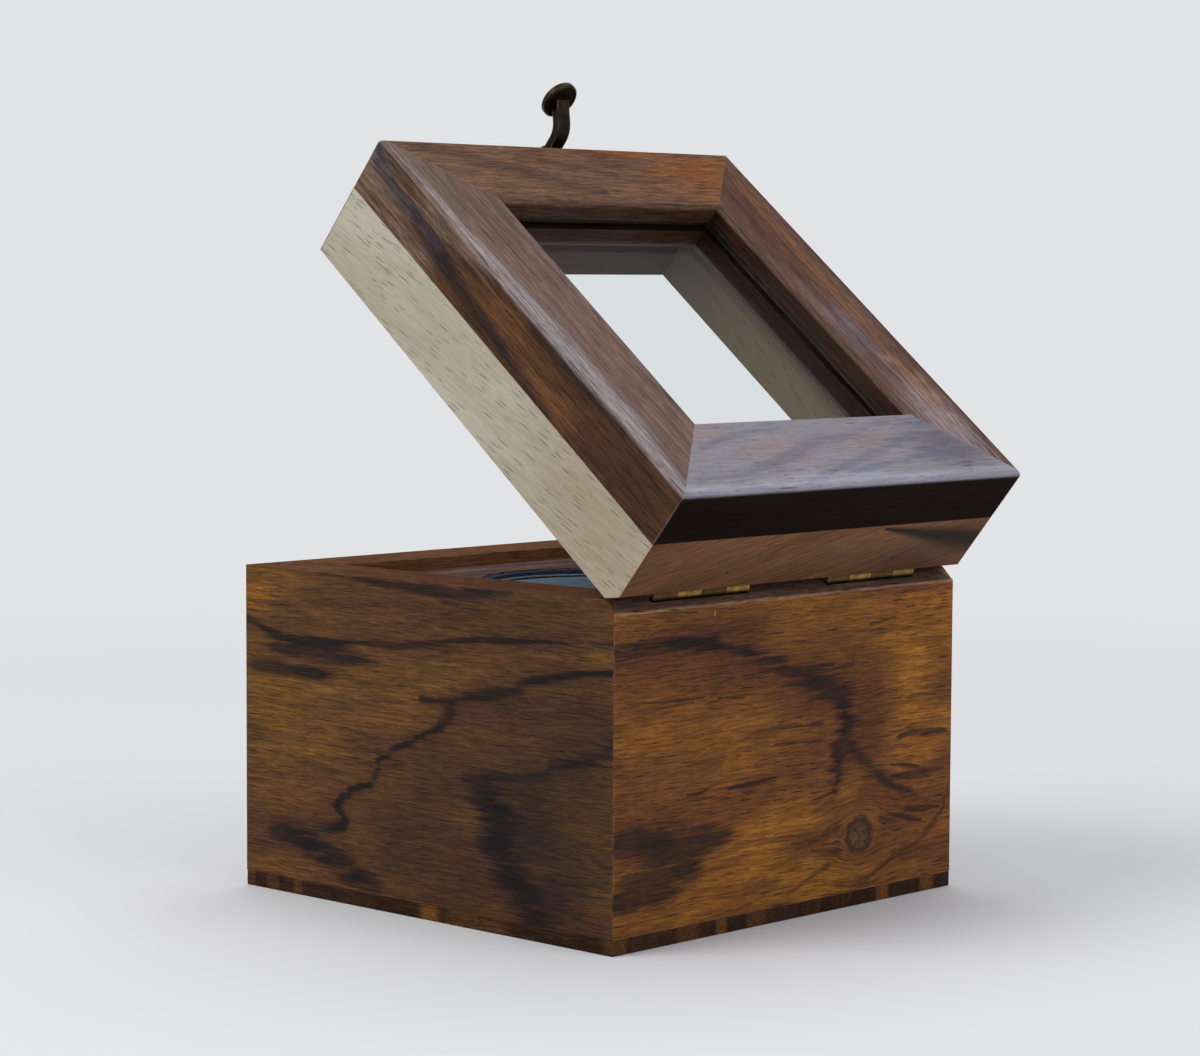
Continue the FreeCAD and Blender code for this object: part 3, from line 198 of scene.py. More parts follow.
@effect("grain sway", {"Place": "v", "Shift": "v", "Sway": "f", "Comb": "f"}, {"Place": "v", "Combed": "v"})
def grain_sway(bench, given):
    """Slow bends of the grain, and ragged ends along it for the marks."""
    shifted = bench.vec("ADD", given["Place"], given["Shift"])
    bends = bench.noise(bench.vec("MULTIPLY", shifted, BEND_RATE), 3.0, 0.55, "Color")
    bends = bench.scaled(bench.vec("SUBTRACT", bends, (0.5, 0.5, 0.5)), given["Sway"])
    swayed = bench.vec("ADD", given["Place"], bends)
    rag = bench.noise(bench.vec("MULTIPLY", shifted, RAG_RATE), 4.0, 0.62)
    rag = bench.times(bench.calc("SUBTRACT", rag, 0.5), given["Comb"])
    return {"Place": swayed, "Combed": bench.vec("ADD", swayed, bench.joined(rag))}


# Each kind of fibre: its rate along and across the grain, and where on the noise it starts and fills
FIBRES = {
    "Broad": (0.016, 0.07, 0.36, 0.64), "Mottle": (0.06, 0.17, 0.36, 0.66),
    "Band": (0.034, 0.36, 0.38, 0.68), "Strand": (0.06, 0.95, 0.42, 0.66),
    "Line": (0.12, 2.1, 0.43, 0.62), "Fine": (0.3, 4.6, 0.43, 0.6),
}


@effect("fibre streaks", {"Place": "v", "Shift": "v"}, dict.fromkeys(FIBRES, "f"))
def fibre_streaks(bench, given):
    """Streaks along the grain, from broad bands to single fibres."""
    shifted = bench.vec("ADD", given["Place"], given["Shift"])
    made = {}
    for label, (run, width, low, high) in FIBRES.items():
        grain = bench.noise(bench.vec("MULTIPLY", shifted, (run, width, width)), 3.0, 0.6)
        made[label] = bench.span(grain, low, high)
    return made


@effect("pore dashes", {"Place": "v", "Shift": "v", "Length": "f", "Width": "f", "Slim": "f", "Share": "f"},
        {"Dash": "f"})
def pore_dashes(bench, given):
    """Short open pores, one to a cell, in a share of the cells."""
    thin = bench.calc("DIVIDE", 1.0, given["Width"])
    cells = bench.joined(bench.calc("DIVIDE", 1.0, given["Length"]), thin, thin)
    spread = bench.vec("MULTIPLY", bench.vec("ADD", given["Place"], given["Shift"]), cells)
    grid = bench.place("TexVoronoi", {"Vector": spread, "Scale": 1.0, "Randomness": 0.85}).outputs
    slim = bench.joined(1.0, given["Slim"], 1.0)
    apart = bench.vec("SUBTRACT", spread, grid["Position"])
    far = bench.vec("LENGTH", bench.vec("MULTIPLY", apart, slim))
    lot, reach, _ = bench.split(grid["Color"])
    inside = bench.span(bench.calc("DIVIDE", far, bench.span(reach, 0.0, 1.0, 0.6, 1.15)), 0.44, 0.24)
    starts = bench.calc("SUBTRACT", 1.0, given["Share"])
    fills = bench.calc("SUBTRACT", 1.2, given["Share"])
    return {"Dash": bench.times(inside, bench.span(lot, starts, fills))}


@effect("ring figure", {"Place": "v", "Shift": "v", "Gap": "f", "Sway": "f"}, {"Line": "f", "Tone": "f"})
def ring_figure(bench, given):
    """Growth rings cut at a slant: a dark line at the end of each, and a tone of its own."""
    shifted = bench.vec("ADD", given["Place"], given["Shift"])
    drift = bench.noise(bench.vec("MULTIPLY", shifted, DRIFT_RATE), 2.0)
    _, across, depth = bench.split(shifted)
    slant = bench.calc("ADD", across, bench.times(depth, 0.55))
    level = bench.calc("ADD", slant, bench.times(drift, given["Sway"]))
    level = bench.calc("DIVIDE", level, given["Gap"])
    ring = bench.calc("FLOOR", level)
    saw = bench.calc("FRACT", level)
    lot = bench.place("TexWhiteNoise", {"W": ring}, noise_dimensions="1D").outputs["Value"]
    edge = bench.times(bench.span(saw, 0.25, 1.0), bench.span(saw, 1.0, 0.93))
    return {"Line": bench.times(bench.calc("POWER", edge, 2.0), lot), "Tone": lot}


@effect("vein stroke", {"Place": "v", "Start": "v", "End": "v", "Width": "f", "Tail": "f"}, {"Far": "f"})
def vein_stroke(bench, given):
    """How far a place lies from a tapered stroke, 1 at the stroke's edge."""
    flat = bench.vec("MULTIPLY", given["Place"], FLAT)
    run = bench.vec("SUBTRACT", given["End"], given["Start"])
    reach = bench.vec("SUBTRACT", flat, given["Start"])
    share = bench.calc("DIVIDE", bench.vec("DOT_PRODUCT", reach, run), bench.vec("DOT_PRODUCT", run, run))
    share = bench.place("Clamp", (share,)).outputs[0]
    far = bench.vec("LENGTH", bench.vec("SUBTRACT", reach, bench.scaled(run, share)))
    taper = bench.times(bench.calc("SUBTRACT", given["Tail"], given["Width"]), share)
    width = bench.calc("ADD", given["Width"], taper)
    return {"Far": bench.calc("DIVIDE", far, width)}


@effect("soft spot", {"Place": "v", "Centre": "v", "Reach": "v"}, {"Far": "f"})
def soft_spot(bench, given):
    """How far a place lies from the middle of an oval, 1 at the oval's edge."""
    apart = bench.vec("DIVIDE", bench.vec("SUBTRACT", given["Place"], given["Centre"]), given["Reach"])
    return {"Far": bench.vec("LENGTH", bench.vec("MULTIPLY", apart, FLAT))}


@effect("knot", {"Place": "v", "Centre": "v", "Radius": "f"},
        {"Place": "v", "Ring": "f", "Heart": "f", "Crack": "f"})
def knot(bench, given):
    """A knot that pushes the grain aside, with a dark ring and a cracked heart."""
    apart = bench.vec("MULTIPLY", bench.vec("SUBTRACT", given["Place"], given["Centre"]), (0.85, 1.0, 0.0))
    wobble = bench.noise(bench.scaled(given["Place"], KNOT_WOBBLE_RATE), 4.0, 0.65)
    far = bench.calc("DIVIDE", bench.vec("LENGTH", apart), given["Radius"])
    push = bench.times(bench.span(far, 5.0, 0.0), given["Radius"])
    bent = bench.vec("SUBTRACT", given["Place"], bench.scaled(bench.vec("NORMALIZE", apart), push))
    far = bench.calc("ADD", far, bench.times(bench.calc("SUBTRACT", wobble, 0.5), 0.9))
    ring = bench.times(bench.span(far, 1.35, 0.95), bench.span(far, 0.55, 0.85))
    crack = bench.span(bench.noise(bench.scaled(given["Place"], KNOT_CRACK_RATE), 3.0, 0.7), 0.48, 0.6)
    heart = bench.span(far, 0.9, 0.6)
    return {"Place": bent, "Ring": ring, "Heart": heart, "Crack": bench.times(crack, heart)}


@effect("edge wear", {"Place": "v", "Reach": "f"}, {"Wear": "f"})
def edge_wear(bench, given):
    """Patchy wear along the sharp edges."""
    round_normal = bench.place("Bevel", {"Radius": given["Reach"]}, samples=6).outputs[0]
    true_normal = bench.place("NewGeometry").outputs["Normal"]
    turn = bench.calc("SUBTRACT", 1.0, bench.vec("DOT_PRODUCT", round_normal, true_normal))
    patchy = bench.noise(bench.vec("MULTIPLY", given["Place"], WEAR_RATE), 3.0)
    return {"Wear": bench.times(bench.span(turn, 0.03, 0.3), bench.span(patchy, 0.3, 0.65))}


@effect("tarnish", {"Place": "v", "Shift": "v"}, {"Patch": "f", "Fleck": "f", "Brush": "f"})
def tarnish(bench, given):
    """A dull film in patches and flecks, and the marks of brushing."""
    shifted = bench.vec("ADD", given["Place"], given["Shift"])
    film = bench.span(bench.noise(bench.scaled(shifted, TARNISH_RATE), 4.0, 0.6), 0.35, 0.65)
    fleck = bench.span(bench.noise(bench.scaled(shifted, FLECK_RATE), 3.0, 0.6), 0.5, 0.72)
    brush = bench.noise(bench.vec("MULTIPLY", shifted, BRUSH_RATE), 3.0, 0.6)
    return {"Patch": film, "Fleck": fleck, "Brush": brush}


@effect("felt nap", {"Place": "v"}, {"Cloud": "f", "Nap": "f"})
def felt_nap(bench, given):
    """Curled fibres, and clouds of paler and darker felt."""
    cloud = bench.span(bench.noise(bench.scaled(given["Place"], CLOUD_RATE), 4.0, 0.6), 0.3, 0.7)
    curl = bench.noise(bench.scaled(given["Place"], CURL_RATE), 2.0, 0.5, "Color")
    curled = bench.vec("ADD", bench.scaled(given["Place"], NAP_RATE), bench.scaled(curl, 2.5))
    return {"Cloud": cloud, "Nap": bench.noise(curled, 4.0, 0.7)}


def blank(name):
    """An empty material with one shader, its bench and the shader's inputs."""
    material = bpy.data.materials.new(name)
    material.use_nodes = True
    shader = material.node_tree.nodes["Principled BSDF"]
    return material, Bench(material.node_tree), shader.inputs


def board_place(bench, axes="xyz", of_lid=False):
    """Places in millimetres as along, across and depth; a piece of the lid is read as if shut."""
    place = bench.place("TexCoord").outputs["Object"]
    if of_lid:
        turn = {"Vector": place, "Center": HINGE_POINT, "Axis": (1.0, 0.0, 0.0), "Angle": LID_OPEN}
        place = bench.place("VectorRotate", turn, rotation_type="AXIS_ANGLE").outputs[0]
    sides = bench.split(bench.scaled(place, 1 / MM))
    return bench.joined(*(sides["xyz".index(axis)] for axis in axes))


# Marks on wood. A mark lies on a plane of its board: "grain" and "top" follow the swaying grain, on the
# sides and on the lid's top, and "true" and "true top" are straight.

def vein(tone, strength, core, *strokes, halo=0.0, plane="grain"):
    """A mark of lines through (along, across, half width) points; halo is the soft shade beside them."""
    return {"tone": paint(*tone), "strength": strength, "core": core, "strokes": strokes, "halo": halo,
            "plane": plane}


def patch(tone, strength, core, *spots, plane="grain"):
    """A mark of soft spots, each (along, across, reach along, reach across)."""
    return {"tone": paint(*tone), "strength": strength, "core": core, "spots": spots, "plane": plane}


def mark_reach(bench, place, mark):
    """How far off a mark lies, 1 at its edge."""
    parts = []
    for points in mark.get("strokes", ()):
        for start, end in zip(points, points[1:]):
            stroke = bench.use(vein_stroke, Place=place, Start=(*start[:2], 0), End=(*end[:2], 0),
                               Width=start[2], Tail=end[2])
            parts.append(stroke["Far"])
    for along, across, length, width in mark.get("spots", ()):
        spot = bench.use(soft_spot, Place=place, Centre=(along, across, 0), Reach=(length, width, 1))
        parts.append(spot["Far"])
    far = parts[0]
    for part in parts[1:]:
        far = bench.calc("MINIMUM", far, part)
    return far


def lay_marks(bench, colour, marks, planes, fibre, on_top, deep):
    """Lays the marks over the wood, frayed along the fibres where they follow the grain."""
    fray = bench.calc("ADD", bench.times(fibre["Strand"], 0.7), bench.times(fibre["Band"], 0.7))
    fray = bench.calc("SUBTRACT", fray, 0.6)
    half_fray = bench.times(fray, 0.5)
    faint = bench.span(fibre["Mottle"], 0.0, 1.0, 1.0, 0.8)
    for mark in marks:
        plane = mark["plane"]
        far = mark_reach(bench, planes[plane], mark)
        if not plane.startswith("true"):
            far = bench.calc("ADD", far, half_fray if "spots" in mark else fray)
        if mark.get("halo"):
            colour = bench.blend(bench.span(far, 4.0, 0.6, 0.0, mark["halo"]), colour, deep)
        mask = bench.span(far, 1.1, mark["core"], 0.0, mark["strength"])
        if plane in ("grain", "top"):
            mask = bench.times(mask, on_top if plane == "top" else faint)
        colour = bench.blend(mask, colour, mark["tone"])
    return colour


Sway = namedtuple("Sway", "bend rag")
Rings = namedtuple("Rings", "gap sway strength")
Pores = namedtuple("Pores", "length width slim share strength")
Lines = namedtuple("Lines", "band line fine")
KnotPlace = namedtuple("KnotPlace", "along across radius")
Oil = namedtuple("Oil", "faces rim")

# What all the woods share
NEEDLE_PORES = {"Length": 2.6, "Width": 0.42, "Slim": 1.7, "Share": 0.55}
KNOT_HEART = (98, 76, 56)
KNOT_DARK = (52, 36, 25)
WORN_EDGE = (172, 142, 118)
WOOD_WEAR_REACH = 0.45 * MM
PORE_ROUGHNESS = 0.2
OIL_IOR = 1.4
GRAIN_RELIEF = 0.5
GRAIN_DEPTH = 0.06 * MM


def mark_planes(bench, raw, combed):
    """The planes that marks lie on, by name."""
    along, across, depth = bench.split(combed)
    raw_along, raw_across, raw_depth = bench.split(raw)
    return {"grain": combed, "true": raw, "top": bench.joined(along, depth, across),
            "true top": bench.joined(raw_along, raw_depth, raw_across)}


def lay_knot(bench, colour, bent):
    """Lays a knot's heart over the wood, and its dark ring and cracks over that."""
    colour = bench.blend(bench.times(bent["Heart"], 0.7), colour, paint(*KNOT_HEART))
    rough_bark = bench.calc("MAXIMUM", bent["Ring"], bent["Crack"])
    return bench.blend(bench.times(rough_bark, 0.85), colour, paint(*KNOT_DARK))


def oiled(bench, shader, fibre, dash, on_rim, gloss, oil):
    """Gives a board its roughness, its coat of oil and the relief of its grain."""
    shader["Specular IOR Level"].default_value = 0.0
    dry = bench.span(fibre["Band"], 0.0, 1.0, *gloss)
    bench.feed(shader["Roughness"], bench.calc("ADD", dry, bench.times(dash, PORE_ROUGHNESS)))
    coat = oil.faces if oil.faces == oil.rim else bench.span(on_rim, 0.0, 1.0, oil.faces, oil.rim)
    bench.feed(shader["Coat Weight"], coat)
    shader["Coat Roughness"].default_value = gloss[0]
    shader["Coat IOR"].default_value = OIL_IOR
    height = bench.calc("SUBTRACT", bench.times(fibre["Fine"], 0.4), dash)
    bench.feed(shader["Normal"], bench.bump(height, GRAIN_RELIEF, GRAIN_DEPTH))


def wood(name, axes, tones, shift, of_lid=False, sway=Sway(3.0, 7.0), rings=Rings(9.0, 60.0, 0.4),
         pores=Pores(7.0, 0.8, 2.6, 0.5, 0.8), needles=0.4, lines=Lines(0.4, 0.34, 0.4), bars=0.0, marks=(),
         knot_at=None, gloss=(0.38, 0.5), oil=Oil(0.3, 0.0), worn=0.3, tilt=0.0):
    """Oiled wood: fibre, growth rings, pores, listed marks and worn edges.

    axes names the board's directions as along, across and depth. tones go from light to dark.
    """
    light, mid, deep, dark = (paint(*tone) for tone in tones)
    material, bench, shader = blank(name)
    raw = board_place(bench, axes, of_lid)
    grain = raw
    if tilt:
        turn = {"Vector": raw, "Angle": tilt}
        grain = bench.place("VectorRotate", turn, rotation_type="Z_AXIS").outputs[0]
    if knot_at:
        bent = bench.use(knot, Place=raw, Centre=(knot_at.along, knot_at.across, 0), Radius=knot_at.radius)
        grain = bent["Place"]
    swayed = bench.use(grain_sway, Place=grain, Shift=shift, Sway=sway.bend, Comb=sway.rag)
    place = swayed["Place"]
    planes = mark_planes(bench, raw, swayed["Combed"])
    # Across is up on the walls and on the lid's boards; no other board uses these two
    _, across, _ = bench.split(raw)
    on_top = bench.span(across, RAIL_TOP - 1.5, RAIL_TOP - 0.3)
    on_rim = on_top if of_lid else bench.span(across, RIM_TOP - 0.6, RIM_TOP - 0.1)
    fibre = bench.use(fibre_streaks, Place=place, Shift=shift)
    figure = bench.use(ring_figure, Place=place, Shift=shift, Gap=rings.gap, Sway=rings.sway)
    dash = bench.use(pore_dashes, Place=place, Shift=shift, Length=pores.length, Width=pores.width,
                     Slim=pores.slim, Share=pores.share)["Dash"]

    colour = bench.blend(fibre["Broad"], mid, light)
    for label in ("Mottle", "Band"):
        colour = bench.blend(bench.times(fibre[label], lines.band), colour, deep)
    if bars:
        colour = bench.blend(bench.times(figure["Tone"], bars), colour, deep)
    colour = bench.blend(bench.times(figure["Line"], rings.strength), colour, dark)
    colour = lay_marks(bench, colour, marks, planes, fibre, on_top, deep)
    if knot_at:
        colour = lay_knot(bench, colour, bent)
    for label, share in (("Strand", 0.6 * lines.line), ("Line", lines.line), ("Fine", lines.fine)):
        colour = bench.blend(bench.times(fibre[label], share), colour, deep, "MULTIPLY")
    if needles:
        fine = bench.use(pore_dashes, Place=place, Shift=shift, **NEEDLE_PORES)["Dash"]
        colour = bench.blend(bench.times(fine, needles), colour, dark)
    colour = bench.blend(bench.times(dash, pores.strength), colour, dark)
    wear = bench.use(edge_wear, Place=raw, Reach=WOOD_WEAR_REACH)["Wear"]
    colour = bench.blend(bench.times(wear, worn), colour, paint(*WORN_EDGE))
    bench.feed(shader["Base Color"], colour)
    oiled(bench, shader, fibre, dash, on_rim, gloss, oil)
    return material


# Body boards: the two walls that show most carry marks placed one by one, in millimetres along and across
VEIN = (30, 22, 22)
SMOKE = (48, 34, 28)
WALL_TONES = ((138, 96, 40), (108, 69, 43), (70, 46, 38), VEIN)
BACK_TONES = ((162, 106, 40), (132, 79, 39), (90, 52, 33), VEIN)
DECK_TONES = ((128, 100, 92), (104, 82, 77), (74, 59, 56), VEIN)
BASE_TONES = ((88, 58, 36), (66, 45, 32), (40, 28, 25), (36, 26, 24))

# Reach of a shade that runs the whole length of a board, and of one that stays on a face
WHOLE = 400
SKIN = 0.6

# A greyer tone over the walls' top faces: painted sheen of light from above
RIM_PAINTED_SHEEN = patch((118, 83, 64), 0.75, 0.7, (0, RIM_TOP + 1.2, WHOLE, 1.7), plane="true")
INSIDE_SHADE = patch((150, 104, 66), 0.6, 0.8, (0, -FRONT_INSIDE, WHOLE, SKIN), plane="true top")

RIGHT_MARKS = (
    # Brown shade towards the back, gold towards the front
    patch((76, 53, 34), 0.8, 0.35, (39.6, 42.4, 28, 11), (36, 24, 26, 27), (5.6, 28, 14, 9),
          (-0.7, 14, 17, 13), (32, 60, 26, 7), (9, 8, 14, 9)),
    patch((142, 95, 36), 0.55, 0.0, (-31, 32, 26, 9), (-42.4, 39, 16, 7), (-40, 20.8, 16, 7),
          (-42.6, 6, 14, 4.4), (-8, 38, 14, 4)),
    patch((176, 112, 34), 0.75, 0.1, (-49, 58.5, 8, 5)),
    # Upper vein with its clouds, and the smoky streak under the rim
    patch((40, 29, 27), 1.0, 0.3, (-28, 49.6, 14, 3), (-37.4, 49.2, 9, 2.1), (-41.5, 45.4, 11, 2.2),
          (-31.2, 45.2, 12, 2.2), (-20, 48.8, 9, 1.9)),
    vein(VEIN, 0.92, 0.1, (
        (-51.1, 54.2, 1.1), (-43.2, 52.2, 1.2), (-35.5, 50.9, 1.5), (-24.4, 51.2, 1.5), (-18.6, 52.1, 1.1),
        (-5.6, 52.6, 0.8), (5.6, 53.7, 0.7), (15.7, 55.3, 0.6), (28.5, 56, 0.6), (38.1, 56.5, 0.6),
        (51, 57.2, 0.5)), halo=0.35),
    vein((44, 32, 28), 0.95, 0.0, (
        (-27.8, 65, 0.6), (-16.9, 64.6, 0.9), (-5.6, 63.8, 1.4), (5.6, 63.4, 1.8), (15, 64.2, 1.5),
        (24.6, 65, 1)), halo=0.3),
    # Long vein that steps down from the back to the lower front, and the cloud at its foot
    vein(VEIN, 0.95, 0.05, (
        (51.1, 51.9, 0.7), (39.6, 50.6, 0.7), (30, 48.9, 0.9), (24.8, 46.9, 1.2), (19.5, 45.1, 1.3),
        (13.4, 44.2, 1.3), (8.7, 42.7, 1.6), (8.3, 39.6, 1.4), (4.8, 37.5, 1.1), (-2.3, 34.4, 1.1),
        (-7.2, 32.3, 1.3), (-10.4, 30.2, 1.5), (-12.1, 27.3, 1.3), (-14.1, 25.1, 1.2), (-18.6, 23.2, 1.1),
        (-21.6, 21.2, 1.1), (-23.2, 19.3, 1.1), (-21.5, 17.2, 1.1), (-22.3, 15.1, 1.4), (-27.9, 13.8, 1.4),
        (-33.9, 12.9, 1.3)), ((8.7, 42.7, 1.1), (4.8, 42.5, 0.7), (0.8, 42.7, 0.8)), halo=0.35),
    patch((36, 27, 25), 1.0, 0.3, (-38.2, 12.4, 6.4, 3.2), (-32, 10.4, 9, 2.9), (-24.5, 8.6, 9, 2.7),
          (-17, 6.2, 9, 2.6)),
    # Lower vein and the dark wedge under it
    vein((34, 25, 27), 0.9, 0.0, (
        (51.2, 38.4, 2), (46.9, 35.8, 1.8), (41.9, 33.9, 1.6), (35.3, 32.7, 1.6), (31.6, 31, 1.3),
        (25.6, 29.9, 1.2), (18.8, 29.3, 1.3), (12.6, 28.3, 1.2)), halo=0.5),
    patch((46, 34, 31), 0.8, 0.0, (30, 20, 14, 12), (37, 9, 12, 9)),
    patch((29, 21, 24), 1.0, 0.25, (17.6, 26.4, 6, 3.6), (21.4, 22, 6.6, 6), (21.6, 16.4, 6.6, 6),
          (24, 12, 7, 5.4), (28.4, 8, 7, 5), (32.4, 3.4, 7, 5)),
    # Painted sheen on the rim's top face
    RIM_PAINTED_SHEEN,
)
BACK_MARKS = (
    # Broad brown and gold clouds
    patch((104, 62, 30), 0.6, 0.0, (21, 59, 28, 5), (19.6, 48, 20, 5), (36.8, 27.4, 16, 6),
          (-9.6, 53, 14, 6), (32, 35, 15, 6)),
    patch((98, 57, 28), 0.75, 0.1, (-22.1, 44, 9, 11), (-23.6, 36.5, 8, 13), (-21, 29.8, 6, 7)),
    patch((176, 120, 40), 0.65, 0.0, (-49.2, 56, 8, 7), (-41, 57.5, 11, 5), (-37, 44, 8, 12),
          (-17.8, 24.2, 5, 5), (-10, 6.3, 16, 6), (3, 19, 14, 5), (-37, 29, 10, 5), (8, 13.6, 10, 4)),
    # Arched vein with its smoke, and the tail that leaves it
    vein(SMOKE, 0.95, 0.0, ((49.7, 55.1, 2), (40.4, 55.8, 2.4), (31.6, 56.1, 3.2), (21.8, 55, 3.4),
                            (13.2, 52.6, 3)), halo=0.4),
    vein(VEIN, 0.95, 0.1, (
        (42, 56, 0.3), (33, 56.2, 1.1), (21.8, 54.8, 2), (13.2, 52.6, 2), (5.2, 50.5, 2.7),
        (-2.2, 47.6, 3.1), (-9, 45, 3.3), (-14.4, 41.5, 3.8), (-16.4, 37.2, 3.8), (-15.7, 33.3, 3.5),
        (-14.4, 29.5, 2.4), (-13.6, 25.6, 1.5), (-13.2, 23, 0.8)), halo=0.45),
    vein(SMOKE, 0.9, 0.0, ((-18.4, 31.5, 1.4), (-22, 28, 2), (-26.4, 24.8, 1.9), (-32, 21.9, 1.3),
                           (-38.4, 20.1, 0.7)), halo=0.3),
    # Dark pool low down, towards the right wall
    patch((52, 36, 28), 1.0, 0.45, (38.1, 18.4, 11, 6.8), (27.4, 18.2, 10, 3.9), (43.5, 20.6, 9, 4.2),
          (40.7, 11.4, 11, 5), (46.1, 9.6, 9, 3.2), (31.1, 13.6, 7, 3)),
    patch((88, 54, 32), 0.55, 0.0, (47.4, 16, 6, 3)),
    # Short dashes
    vein(VEIN, 0.85, 0.0, ((-33, 32.2, 0.4), (-36.6, 33.2, 1.2), (-42.3, 32.5, 1.2), (-49.3, 32, 0.4)),
         ((-30.7, 26.9, 0.3), (-34.7, 26.4, 0.7), (-39.6, 25.3, 0.3)),
         ((-30.7, 24.2, 0.5), (-38.4, 24, 1.3), (-43.2, 24, 1.1), (-47.8, 24.3, 0.4)),
         ((-34.5, 17.1, 0.4), (-40.1, 17, 0.8), (-45.5, 16.7, 0.3)),
         ((-25.7, 17.2, 0.4), (-32.1, 16, 0.7), (-40.2, 14.7, 0.3)),
         ((-35.6, 39.5, 0.2), (-39.7, 39.9, 0.5), (-45.4, 39.6, 0.2)),
         ((-23.4, 55.7, 0.4), (-31.3, 56.7, 0.2)),
         ((18.7, 27.3, 0.4), (12.9, 27.8, 0.8), (4.2, 28.1, 0.3)),
         ((29.6, 27.8, 0.3), (26.4, 27.7, 0.5), (23.6, 28.1, 0.3))),
    vein(VEIN, 0.75, 0.0, ((43, 46, 0.25), (36.9, 45.6, 0.4), (24.5, 45.6, 0.25)),
         ((39, 44.6, 0.25), (28, 44.9, 0.3)), ((21, 45.2, 0.3), (14.2, 44.7, 0.25)),
         ((19.6, 43.6, 0.25), (11.7, 43.2, 0.35)), ((10.9, 37.8, 0.25), (-9.1, 37.1, 0.4)),
         ((5.7, 34.6, 0.25), (-9.9, 34, 0.4)), ((2.4, 29.9, 0.25), (-5.8, 29.7, 0.35)),
         ((-6, 22.5, 0.25), (-15.1, 23.1, 0.4)), ((16.9, 56.4, 0.25), (11.1, 57, 0.35)),
         ((10.4, 55.5, 0.25), (2.4, 55.9, 0.35)), ((-3.7, 48.6, 0.3), (-12, 48.5, 0.45)),
         ((-12, 47.6, 0.3), (-17.8, 47.8, 0.45)), ((3.7, 45.6, 0.25), (-6, 45.5, 0.25)),
         ((-22.7, 54.1, 0.3), (-27.4, 54.8, 0.2))),
    # Smoke about the knot, and lines that sweep under it
    vein(SMOKE, 0.65, 0.0, ((-0.4, 14.8, 0.4), (-8, 14.7, 1.5), (-16, 15, 1.8)),
         ((-6.5, 12.7, 0.4), (-16.8, 12.2, 0.9)), ((-25.3, 15.4, 1.2), (-32.9, 15.9, 0.7))),
    vein(SMOKE, 0.65, 0.0, ((-49.3, 20.5, 0.7), (-47.9, 17.8, 0.9), (-45.1, 13.5, 0.9), (-39.4, 10.1, 0.8),
                            (-29.8, 8.3, 0.8), (-20.4, 6, 0.7)),
         ((-32.2, 9.5, 0.5), (-26.7, 7.7, 0.6), (-21.2, 4.9, 0.5)),
         ((-12.6, 10, 0.5), (-5.8, 7.4, 0.8), (0.2, 5.3, 0.6))),
    # Darker, greyer tone over the chamfer, and a pale line along its lower edge that is partly wear and
    # partly a painted highlight
    patch((84, 69, 64), 0.85, 0.85, (0, RIM_TOP + 0.6, WHOLE, 3.2), plane="true"),
    vein((164, 138, 116), 0.55, 0.2, ((-51, 62.55, 0.4), (51, 62.55, 0.4)), plane="true"),
)
KNOT_AT = KnotPlace(-20.7, 13.9, 3.2)

# Bars of end grain on the base strip's back and right faces, dark to orange
BASE_MARKS = (
    patch((66, 48, 38), 0.6, 0.6, (51, 39.5, 4, 6.4), (51, 23.9, 4, 2.1), (51, 15.8, 4, 2.4),
          (51, 0.5, 4, 6.4), (51, -35, 4, 4.4), (51, -47.5, 4, 2), (-47, 50, 1.6, 4), (-39, 50, 1.9, 4),
          (-25, 50, 9, 4), (32, 50, 5, 4), plane="true"),
    patch((112, 76, 46), 0.55, 0.5, (51, 48.5, 4, 2.6), (51, 29.6, 4, 3.5), (51, 10, 4, 3.3),
          (-49.5, 50, 1.4, 4), (-43, 50, 2.3, 4), (-35.4, 50, 1.6, 4), (16, 50, 10, 4), plane="true"),
    patch((134, 88, 46), 0.65, 0.5, (51, 20.1, 4, 1.9), (51, -28.3, 4, 2.4), (51, -42.5, 4, 2.9),
          plane="true"),
    patch((138, 92, 40), 0.8, 0.3, (2.6, 50, 3.4, 4), plane="true"),
)
BODY_WOOD = {
    "right_wall": wood("case wood right", "yzx", WALL_TONES, (11.0, 3.0, 40.0), sway=Sway(2.0, 5.0),
                       rings=Rings(6.0, 40.0, 0.15), marks=RIGHT_MARKS),
    "back_wall": wood("case wood back", "xzy", BACK_TONES, (210.0, 55.0, 7.0), sway=Sway(2.0, 6.0),
                      rings=Rings(7.0, 40.0, 0.1), pores=Pores(5.0, 0.8, 2.4, 0.55, 0.85), marks=BACK_MARKS,
                      knot_at=KNOT_AT),
    "front_wall": wood("case wood front", "xzy", WALL_TONES, (88.0, 140.0, 20.0),
                       rings=Rings(13.0, 90.0, 0.9), marks=(RIM_PAINTED_SHEEN, INSIDE_SHADE)),
    "left_wall": wood("case wood left", "yzx", BACK_TONES, (420.0, 31.0, 61.0),
                      rings=Rings(15.0, 100.0, 0.9), marks=(RIM_PAINTED_SHEEN,)),
    "deck_panel": wood("deck wood", "xyz", DECK_TONES, (50.0, 9.0, 3.0), rings=Rings(12.0, 70.0, 0.6),
                       oil=Oil(0.0, 0.0)),
    "base_plate": wood("base wood", "yxz", BASE_TONES, (9.0, 77.0, 15.0), rings=Rings(4.6, 8.0, 0.5),
                       bars=0.4, marks=BASE_MARKS, oil=Oil(0.1, 0.1)),
}
BODY_WOOD["deck_ledges"] = BODY_WOOD["deck_panel"]

